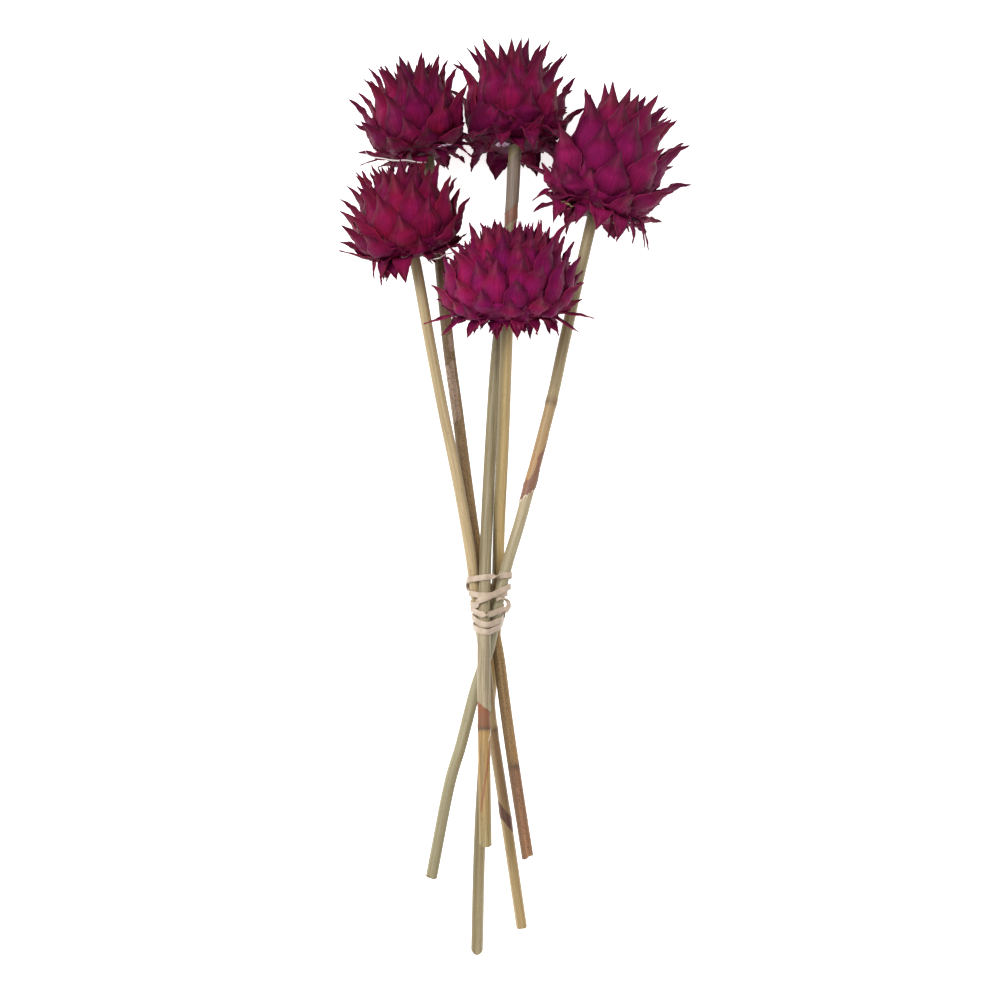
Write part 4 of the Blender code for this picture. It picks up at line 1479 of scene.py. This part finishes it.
    def build(self, reeds: Sequence[Reed]) -> bpy.types.Object:
        """Models the band as a strip that is closed, thickened and rounded at its edges.

        Args:
            reeds: the stems that it is wound round.

        Returns:
            The finished piece.
        """
        line = self.evenly(self.course(reeds))
        count = len(line)
        bpy.ops.mesh.primitive_grid_add(x_subdivisions=count, y_subdivisions=2, size=2)
        band = bpy.context.object
        self.strip(band, line, count)
        modify(band, "WELD", merge_threshold=TINY)
        slack = self.slack(reeds[-1])
        bpy.ops.mesh.primitive_grid_add(x_subdivisions=len(slack) - 1, y_subdivisions=2, size=2)
        loop = bpy.context.object
        self.strip(loop, slack, len(slack) - 1)
        band = joined([band, loop], self.name)
        modify(band, "SOLIDIFY", thickness=self.thickness * MM, offset=0)
        modify(band, "BEVEL", width=self.edge * MM, segments=2, limit_method="ANGLE",
               angle_limit=math.radians(60))
        edit(band, Pick.FACES, lambda face: True)
        bpy.ops.mesh.normals_make_consistent(inside=False)
        only(band)
        band.data.materials.append(self.finish.material())
        bpy.ops.object.shade_smooth_by_angle(angle=math.radians(50))
        return band

    def strip(self, flat: bpy.types.Object, line: list[tuple[Vector, Vector, float]], count: int) -> None:
        """Lays a flat grid along a line.

        Args:
            flat: the grid, which spans -1 to 1 both ways.
            line: its place, the way it faces and how far it has turned over, at even steps.
            count: the grid's steps along it.
        """
        closed = count == len(line)
        for vert in flat.data.vertices:
            index = round((vert.co.x + 1) / 2 * count)
            after = (index + 2) % count if closed else min(index + 1, count)
            before = index % count - 2 if closed else max(index - 1, 0)
            at, facing, turned = line[index % len(line)]
            ahead = (line[after][0] - line[before][0]).normalized()
            across = ahead.cross(facing).normalized()
            standing = abs(math.sin(turned))
            half = self.width / 2 * MM * (1 - self.narrowing * standing)
            edge = across * math.cos(turned) + facing * math.sin(turned)
            vert.co = at + facing * standing * self.standing_off * MM + edge * vert.co.y * half

    def slack(self, reed: Reed) -> list[tuple[Vector, Vector, float]]:
        """Follows the short slack loop between two turns, which is twisted.

        Args:
            reed: the stem that it hangs over.

        Returns:
            At small steps its place, the way it faces and how far it has turned over.
        """
        found = []
        for low, high in zip(self.slack_route, self.slack_route[1:]):
            for step in range(self.slack_steps):
                x, y, rise, lean, turned = (
                    a + (b - a) * step / self.slack_steps for a, b in zip(low, high)
                )
                at = place((x, y, 0))
                at.z = reed.centre_at(at.y).z + rise * MM
                facing = Vector((math.sin(math.radians(lean)), 0, math.cos(math.radians(lean))))
                found.append((at, facing, turned))
        return found


@dataclass
class Studio:
    """The camera straight above, the pale floor and the soft lights."""

    height: float = 1.7                   # m from the surface to the camera
    seen: float = 0.614                   # m of the surface that the picture's side spans
    sensor: float = 36.0                  # mm
    floor_side: float = 40.0              # m
    floor_colour: str = "#FBFBFA"
    floor_glow: float = 0.80              # the board is opal and lit from below
    surroundings: float = 0.34            # strength of the white light from all sides
    lit: Vector = field(default_factory=lambda: Vector((0, 0.1, 0)))  # the place that the lights face
    lights: tuple = (                     # name, place and side in m, watts
        ("key", (-0.8, 0.8, 1.6), 1.3, 40),
        ("fill", (0.9, 0.2, 1.8), 1.6, 10),
        ("front", (-0.1, -0.9, 1.9), 1.6, 7),
    )

    def camera(self) -> None:
        """Adds the camera, level with the picture's middle."""
        data = bpy.data.cameras.new("camera")
        data.sensor_width = self.sensor
        data.lens = self.sensor * self.height / self.seen
        made = bpy.data.objects.new("camera", data)
        made.location = Vector((-MIDDLE.x, -MIDDLE.y, self.height))
        bpy.context.scene.collection.objects.link(made)
        bpy.context.scene.camera = made

    def floor(self) -> None:
        """Adds the surface that the bunch lies on."""
        bpy.ops.mesh.primitive_plane_add(size=self.floor_side)
        made = bpy.context.object
        made.name = "floor"
        finish, _, shader = new_finish("opal_board")
        shader.inputs["Base Color"].default_value = linear(self.floor_colour)
        shader.inputs["Roughness"].default_value = 0.95
        shader.inputs["Specular IOR Level"].default_value = 0.1
        shader.inputs["Emission Color"].default_value = linear(self.floor_colour)
        shader.inputs["Emission Strength"].default_value = self.floor_glow
        made.data.materials.append(finish)

    def light(self, name: str, at: tuple, size: float, watts: float) -> None:
        """Adds one soft square light that faces the bunch.

        Args:
            name: what it is called.
            at: its place.
            size: of its side.
            watts: its power.
        """
        data = bpy.data.lights.new(name, "AREA")
        data.size = size
        data.energy = watts
        made = bpy.data.objects.new(name, data)
        made.location = at
        made.rotation_euler = (self.lit - made.location).to_track_quat("-Z", "Y").to_euler()
        bpy.context.scene.collection.objects.link(made)

    def build(self) -> None:
        """Adds all of it."""
        self.camera()
        self.floor()
        for light in self.lights:
            self.light(*light)
        world = bpy.data.worlds.new("studio")
        world.use_nodes = True
        background = world.node_tree.nodes["Background"]
        background.inputs["Color"].default_value = linear("#FFFFFF")
        background.inputs["Strength"].default_value = self.surroundings
        bpy.context.scene.world = world
        bpy.context.scene.view_settings.view_transform = "Standard"


# Each dye: root (painted shade), body, lightest place (painted highlight), tip, edge and bluer blotches
MAGENTA = DyedBract("dyed_bract_magenta", "#3E0C18", "#720D32", "#80133F", "#681F31", "#822138", "#6A113E")
CRIMSON = DyedBract("dyed_bract_crimson", "#360B17", "#6E0D32", "#7C1344", "#641D32", "#781F36", "#62113E")
PURPLE = DyedBract("dyed_bract_purple", "#3A0C1E", "#7A1040", "#8E1C52", "#702A3E", "#842A48", "#6E1442")
ROSE = DyedBract("dyed_bract_rose", "#420C1E", "#7E103E", "#8E1852", "#742640", "#962A4A", "#74144E")

# Each dry finish: colours along the piece, fibres, patches, share that is patched, strength of the fibres
BROWN_SHEATH = DryReed("dry_sheath_brown", ((0, "#7A543E"), (1, "#684638")), "#4A2E22", "#94705A", 0.2, 0.5)
PINK_SHEATH = DryReed("dry_sheath_pink", ((0, "#885E48"), (1, "#805C48")), "#6A4634", "#96705A", 0.25, 0.5)
PALE_SHEATH = DryReed("dry_sheath_pale", ((0, "#A09272"), (1, "#A8977A")), "#6E6248", "#8E7A5A", 0.12, 0.8)
TORN_EDGE = DryReed("dry_sheath_torn_edge", ((0, "#D2C6B2"), (1, "#CFC2AC")), "#A8987E", "#B8A88E", 0.1, 0.5)
GREY_SHEATH = DryReed("dry_sheath_grey", ((0, "#7E6C5E"), (1, "#8E7E6C")), "#54463A", "#9A8A78", 0.2, 0.8)
WHITE_SKIN = DryReed("dry_skin_white", ((0, "#E4DAD6"), (1, "#D6C8CA")), "#B49AA2", "#C6B2B0", 0.1, 0.2)
LILAC_SKIN = DryReed("dry_skin_lilac", ((0, "#B49CB0"), (1, "#9A7C96")), "#7A5872", "#C8B8C4", 0.15, 0.3)
OLIVE_SKIN = DryReed("dry_skin_olive", ((0, "#7E7046"), (1, "#8C7E50")), "#5E4E34", "#9A8C60", 0.15, 0.4)
RED_LINE = DryReed("dry_sheath_edge", ((0, "#86502F"), (1, "#94653C")), "#6A3C24", "#A07A50", 0.1, 0.3)
RED_SHEATH = DryReed("dry_sheath_red", ((0, "#7E543E"), (1, "#8C6048")), "#5E3828", "#A07860", 0.2, 0.5)
PEELED = DryReed("peeled_bark", ((0, "#AA9480"), (1, "#A48E78")), "#74583E", "#6A5240", 0.6, 0.6,
                 roughness=0.7, speckle=0.7)

# Its left flank is painted lighter: a painted highlight on the side that faces the key light
STRAW_LEFT = DryReed(
    "dry_reed_straw_left",
    ((0, "#9E8B64"), (0.30, "#B39D76"), (0.697, "#A88E64"), (0.702, "#5A3C28"), (0.708, "#84623C"),
     (0.80, "#7C5A36"), (0.845, "#9E8250"), (1.0, "#B89A66")),
    "#83704C", "#8A6A48", 0.12, 0.45, flank="#BCA680", flank_share=0.5,
)
STRAW_CENTRE = DryReed(
    "dry_reed_straw_centre",
    ((0, "#AA9264"), (0.5, "#BC9E68"), (0.74, "#A4926E"), (1.0, "#A49878")),
    "#857248", "#8A7648", 0.10, 0.4, flank="#766A4A", flank_share=0.85,
)
BROWN = DryReed(
    "dry_reed_brown",
    ((0, "#6C5E46"), (0.3, "#867050"), (0.55, "#97784A"), (0.70, "#A48350"), (0.866, "#9E7A4A"),
     (0.872, "#3E281C"), (0.878, "#8E6244"), (1.0, "#A06E4A")),
    "#644A2E", "#A48858", 0.35, 0.5, roughness=0.65, flank="#5E4C34", flank_share=0.5, speckle=0.75,
)
GREY_GREEN = DryReed(
    "dry_reed_grey_green",
    ((0, "#877858"), (0.3, "#918462"), (0.76, "#928262"), (0.80, "#94461E"), (0.832, "#80401C"),
     (0.836, "#44291A"), (0.841, "#BA8E50"), (0.94, "#B08C54"), (1.0, "#A0905E")),
    "#5E5438", "#72603F", 0.15, 0.65,
)
OLIVE = DryReed(
    "dry_reed_olive",
    ((0, "#8E7E5C"), (0.285, "#A28E66"), (0.298, "#765A3C"), (0.305, "#A88A60"), (0.425, "#A87E52"),
     (0.44, "#B0A080"), (0.60, "#9A9272"), (1.0, "#928A6A")),
    "#7A6C4A", "#8C6C48", 0.12, 0.5,
)

# Each route runs from the head to the cut end. Each sheath: where it starts and ends, the side it faces, its
# spread, slant, tearing and finish, then how proud and how thick it is.
REEDS = {
    "left": Reed(
        "reed_left", "reed_straw", STRAW_LEFT, radius=3.25,
        route=((-52.2, 148.5, 73.3), (-49.2, 137.5, 72.6), (-40.9, 91.3, 69.5), (-33.6, 53.1, 67.0),
               (-25.1, 11.8, 64.0), (-18.3, -26.6, 61.6), (-15.4, -47.4, 60.2), (-12.5, -68.2, 57.8),
               (-10.2, -86.1, 55.2), (-7.2, -110, 53.2), (-4.5, -136.3, 51.4), (2.1, -180.2, 47.6),
               (13.2, -257.1, 40.5)),
        swellings=((-136.3, 5, 0.35), (-188, 16, 0.25)),
        sheaths=(Sheath(-184, -193.5, 90, 95, -5.5, 0.4, BROWN_SHEATH, 1.012, 0.12),),
        notch=(90, 0.8), rounded=1.2,
    ),
    "upper_left": Reed(
        "reed_upper_left", "reed_brown", BROWN, radius=3.5,
        route=((-44.5, 212, 36.6), (-43.2, 206, 37.0), (-36.5, 149.8, 41.3), (-30.8, 92.6, 45.4),
               (-25.1, 50.7, 48.4), (-20, 11.9, 50.7), (-14.9, -23.8, 52.6), (-10.8, -47.6, 53.6),
               (-5.8, -68.4, 54.0), (-0.9, -92.1, 54.8), (2.6, -118.7, 56.0), (7.6, -154.2, 58.0),
               (16.6, -212.5, 61.0)),
        swellings=((-160, 5, 0.45),),
        sheaths=(Sheath(99, 88, 60, 30, 2, 0.9, PEELED), Sheath(81, 47, 105, 48, 3, 1.2, PEELED)),
        end_slant=(150, 1.2), notch=(50, 2.6), rounded=0.3,
    ),
    "top": Reed(
        "reed_top", "reed_grey_green", GREY_GREEN, radius=3.6,
        route=((9.2, 217, 38.8), (8.9, 211, 39.0), (6.9, 172.1, 39.7), (3.0, 128.8, 41.5),
               (-2.1, 83.6, 46.0), (-5.9, 23.8, 54.2), (-8.3, -26.6, 61.7), (-9.0, -53.1, 65.8),
               (-9.3, -76.6, 69.4), (-9.4, -105.9, 72.6), (-9.4, -132.2, 74.8), (-8.4, -203.2, 84.0)),
        swellings=((170, 10, 0.3), (-122, 8, 0.35), (-132.2, 5, 0.3)),
        sheaths=(Sheath(206, 175, 90, 180, 4, 0.4, GREY_SHEATH),
                 Sheath(180, 166, 90, 180, 3, 0.3, RED_SHEATH, 1.012, 0.1),
                 Sheath(-76, -121.5, 90, 180, -3.4, 0.4, PALE_SHEATH),
                 Sheath(-141, -182, 20, 7, 0, 0, RED_LINE, 1.01, 0.1, winds=112),
                 Sheath(-134, -142, 5, 9, 1, 0.8, TORN_EDGE, 1.12, 0.2, winds=50)),
        end_slant=(0, 0.8), rounded=1.7,
    ),
    "centre": Reed(
        "reed_centre", "reed_straw", STRAW_CENTRE, radius=3.6,
        route=((4.4, 110, 83.0), (4.2, 105.2, 82.0), (3.1, 70.5, 74.5), (1.6, 29.5, 65.6),
               (-0.4, -11.9, 56.8), (-1.2, -44.7, 49.6), (-2.1, -62.7, 46.2), (-3.3, -83.8, 42.4),
               (-5.7, -114.1, 36.6), (-9.7, -160.1, 27.0), (-12.5, -212.9, 16.0), (-14.1, -277.6, 3.5)),
        swellings=((-90, 5, 0.3),),
        end_slant=(90, 0.6), rounded=2.0,
    ),
    "right": Reed(
        "reed_right", "reed_olive", OLIVE, radius=3.4,
        route=((57.4, 177, 40.5), (53.3, 159.8, 41.8), (46, 128.4, 45.6), (37.3, 89.4, 49.5),
               (30.6, 58.3, 52.2), (20.8, 20.8, 55.3), (12.2, -11.9, 58.0), (5.0, -35.5, 60.0),
               (1.2, -50.3, 61.2), (-2.7, -68, 62.4), (-6.8, -88.7, 63.0), (-14.6, -112.3, 63.8),
               (-23.0, -144.6, 65.6), (-30.1, -169.2, 68.0), (-40.5, -222.7, 73.0)),
        swellings=((58.3, 5, 0.3), (12, 12, 0.35)),
        sheaths=(Sheath(34, 11, 20, 62, 8, 0.3, PINK_SHEATH, 1.02, 0.15),
                 Sheath(13.5, 3.5, 90, 180, 4.5, 1.2, PINK_SHEATH),
                 Sheath(8, 2.2, 90, 180, 4.5, 1.6, TORN_EDGE, 1.015, 0.1)),
        notch=(130, 1.8),
    ),
}

# Each flap: polar angle and azimuth of its root, heading of its tip, length, half-width, twist and tone.
# Each skin: its azimuths, its polar angles, how far off the core it lies, its width and finish.
HEADS = {
    "left": FlowerHead(
        "head_left", "bracts_magenta", MAGENTA, base=(-50.9, 140, 73.0), lean=-10, pitch=4, turn=20,
        radius=32.5, low=13, high=24, bracts=60, length=35, half_width=9.9, spread=-9, seed=11,
        form=BractForm.KEELED, ruff_count=8, unruly=0.8,
        flaps=(Flap(146, 106, 172, 18, 6.2, 0.1, 0.55, rise=2.6),
               Flap(144, 140, 160, 19, 5.0, -0.3, 0.4, rise=2.2),
               Flap(137, 158, 166, 16, 2.6, 0.5, 0.5), Flap(132, 176, 62, 23, 3.8, 0.1, 0.5, rise=2.0),
               Flap(130, 134, 32, 25, 9.0, 0.1, 0.45, BractForm.BROAD, rise=2.6),
               Flap(118, 152, 34, 27, 8.6, -0.1, 0.35, BractForm.KEELED, rise=2.2)),
        skins=(Skin((72, 8), (150, 124), 3.6, 1.3, WHITE_SKIN),),
    ),
    "upper_left": FlowerHead(
        "head_upper_left", "bracts_crimson", CRIMSON, base=(-45.5, 203, 36.8), lean=-10, pitch=-4, turn=75,
        radius=32.0, low=13, high=27, bracts=58, length=35, half_width=9.6, spread=-1, seed=23,
        form=BractForm.SPINED, ruff_count=12,
        flaps=(Flap(140, 22, 140, 20, 4.8, 0.3, 0.4), Flap(148, 55, 160, 15, 4.4, -0.3, 0.1),
               Flap(134, 178, 96, 19, 2.8, 0.3, 0.5), Flap(132, 120, 60, 20, 7.5, 0.0, 0.6, rise=2.5),
               Flap(132, 82, 62, 20, 8.0, 0.0, 0.5, rise=2.5),
               Flap(130, 48, 64, 20, 7.5, 0.0, 0.45, rise=2.5)),
        skins=(Skin((164, 86), (92, 144), 6.8, 1.2, WHITE_SKIN, 0.65),
               Skin((70, 52), (118, 116), 5.6, 1.1, LILAC_SKIN)),
    ),
    "top": FlowerHead(
        "head_top", "bracts_crimson", CRIMSON, base=(8.9, 210, 39.0), lean=-3, pitch=-16, turn=140,
        radius=33.5, low=13, high=27, bracts=62, length=38, half_width=9.0, spread=6, seed=37,
        form=BractForm.SPINED, ruff_count=12, unruly=1.2,
        flaps=(Flap(140, 205, 152, 18, 6.6, 0.3, 0.0), Flap(142, 244, 156, 18, 8.6, -0.3, 0.05),
               Flap(142, 298, 156, 17, 6.0, 0.4, 0.0), Flap(138, 330, 150, 20, 5.4, -0.4, 0.05),
               Flap(142, 106, 150, 17, 5.4, 0.4, 0.5, rise=3.0),
               Flap(138, 68, 166, 20, 6.4, -0.2, 0.3, rise=3.0),
               Flap(130, 136, 128, 15, 6.0, 0.5, 0.35, rise=3.0),
               Flap(128, 38, 138, 13, 6.4, -0.4, 0.2, rise=3.0),
               Flap(126, 160, 120, 14, 5.0, 0.3, 0.15, rise=2.0)),
        skins=(Skin((140, 104), (152, 157), 1.4, 4.6, LILAC_SKIN),),
    ),
    "centre": FlowerHead(
        "head_centre", "bracts_magenta", ROSE, base=(4.6, 103, 82.6), lean=-1, pitch=8, turn=50,
        radius=41.5, low=13, high=27, bracts=116, length=31, half_width=7.8, spread=-8, seed=41,
        form=BractForm.BROAD, ruff_count=22, torn_crown=0.7, unruly=1.8,
        flaps=(Flap(154, 76, 174, 13, 4.6, 0.2, 0.95), Flap(154, 108, 170, 13, 4.8, -0.3, 0.9),
               Flap(146, 52, 160, 12, 4.6, 0.4, 0.8), Flap(150, 300, 166, 18, 4.4, -0.2, 0.05),
               Flap(146, 330, 160, 15, 4.6, 0.4, 0.1), Flap(146, 225, 162, 15, 4.4, -0.4, 0.1),
               Flap(136, 178, 104, 24, 3.6, 0.5, 0.6), Flap(134, 4, 100, 24, 3.6, -0.5, 0.6),
               Flap(142, 160, 124, 21, 3.4, 0.7, 0.3), Flap(142, 18, 120, 22, 3.4, -0.7, 0.3),
               Flap(146, 140, 142, 14, 5.2, 0.3, 0.3, rise=2.0),
               Flap(144, 28, 140, 15, 5.4, -0.3, 0.4, rise=2.0)),
    ),
    "right": FlowerHead(
        "head_right", "bracts_purple", PURPLE, base=(54.8, 168.5, 41.2), lean=16, pitch=-4, turn=10,
        radius=36.5, low=17, high=36, bracts=58, length=43, half_width=11.5, spread=1, seed=59,
        form=BractForm.KEELED, ruff_count=10,
        flaps=(Flap(138, 82, 168, 18, 7.6, 0.1, 0.7, rise=4.6),
               Flap(142, 52, 170, 21, 6.8, -0.15, 0.5, rise=3.4),
               Flap(138, 134, 172, 21, 6.4, 0.2, 0.6, rise=4.0),
               Flap(146, 108, 165, 17, 5.2, -0.3, 0.35, rise=2.8),
               Flap(142, 26, 158, 20, 4.8, 0.3, 0.4, rise=1.8), Flap(136, 8, 154, 23, 3.0, 0.5, 0.4),
               Flap(134, 354, 149, 24, 2.8, -0.5, 0.4), Flap(128, 160, 140, 19, 4.2, 0.4, 0.5),
               Flap(108, 178, 76, 24, 4.4, 0.1, 0.5, BractForm.KEELED)),
        skins=(Skin((132, 116), (126, 132), 6.6, 1.6, OLIVE_SKIN),
               Skin((66, 54), (138, 140), 6.0, 1.4, OLIVE_SKIN)),
    ),
}


def settle(piece: bpy.types.Object, node: str) -> None:
    """Sets a finished piece in the frame, in place of its node, and reports it.

    Args:
        piece: the finished mesh object.
        node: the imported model's node that it stands for.
    """
    piece.name = f"{node}_look"
    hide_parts(node)
    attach(piece, "root")
    log.info("%s: %d faces", piece.name, len(piece.data.polygons))


def main() -> None:
    """Builds the studio and every piece in order."""
    logging.basicConfig(level=logging.INFO, format="%(message)s")
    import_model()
    Studio().build()
    reeds = list(REEDS.values())
    press_walls(HEADS)
    blanks = {form: bract_blank(form) for form in BractForm}
    for head in HEADS.values():
        settle(head.build(blanks, reeds), head.name)
    for blank in blanks.values():
        mesh = blank.data
        bpy.data.objects.remove(blank)
        bpy.data.meshes.remove(mesh)
    pith = Pith().material()
    for reed in reeds:
        settle(reed.build(pith), reed.name)
    band = RubberBand()
    settle(band.build(reeds), band.name)


if __name__ == "__main__":
    main()
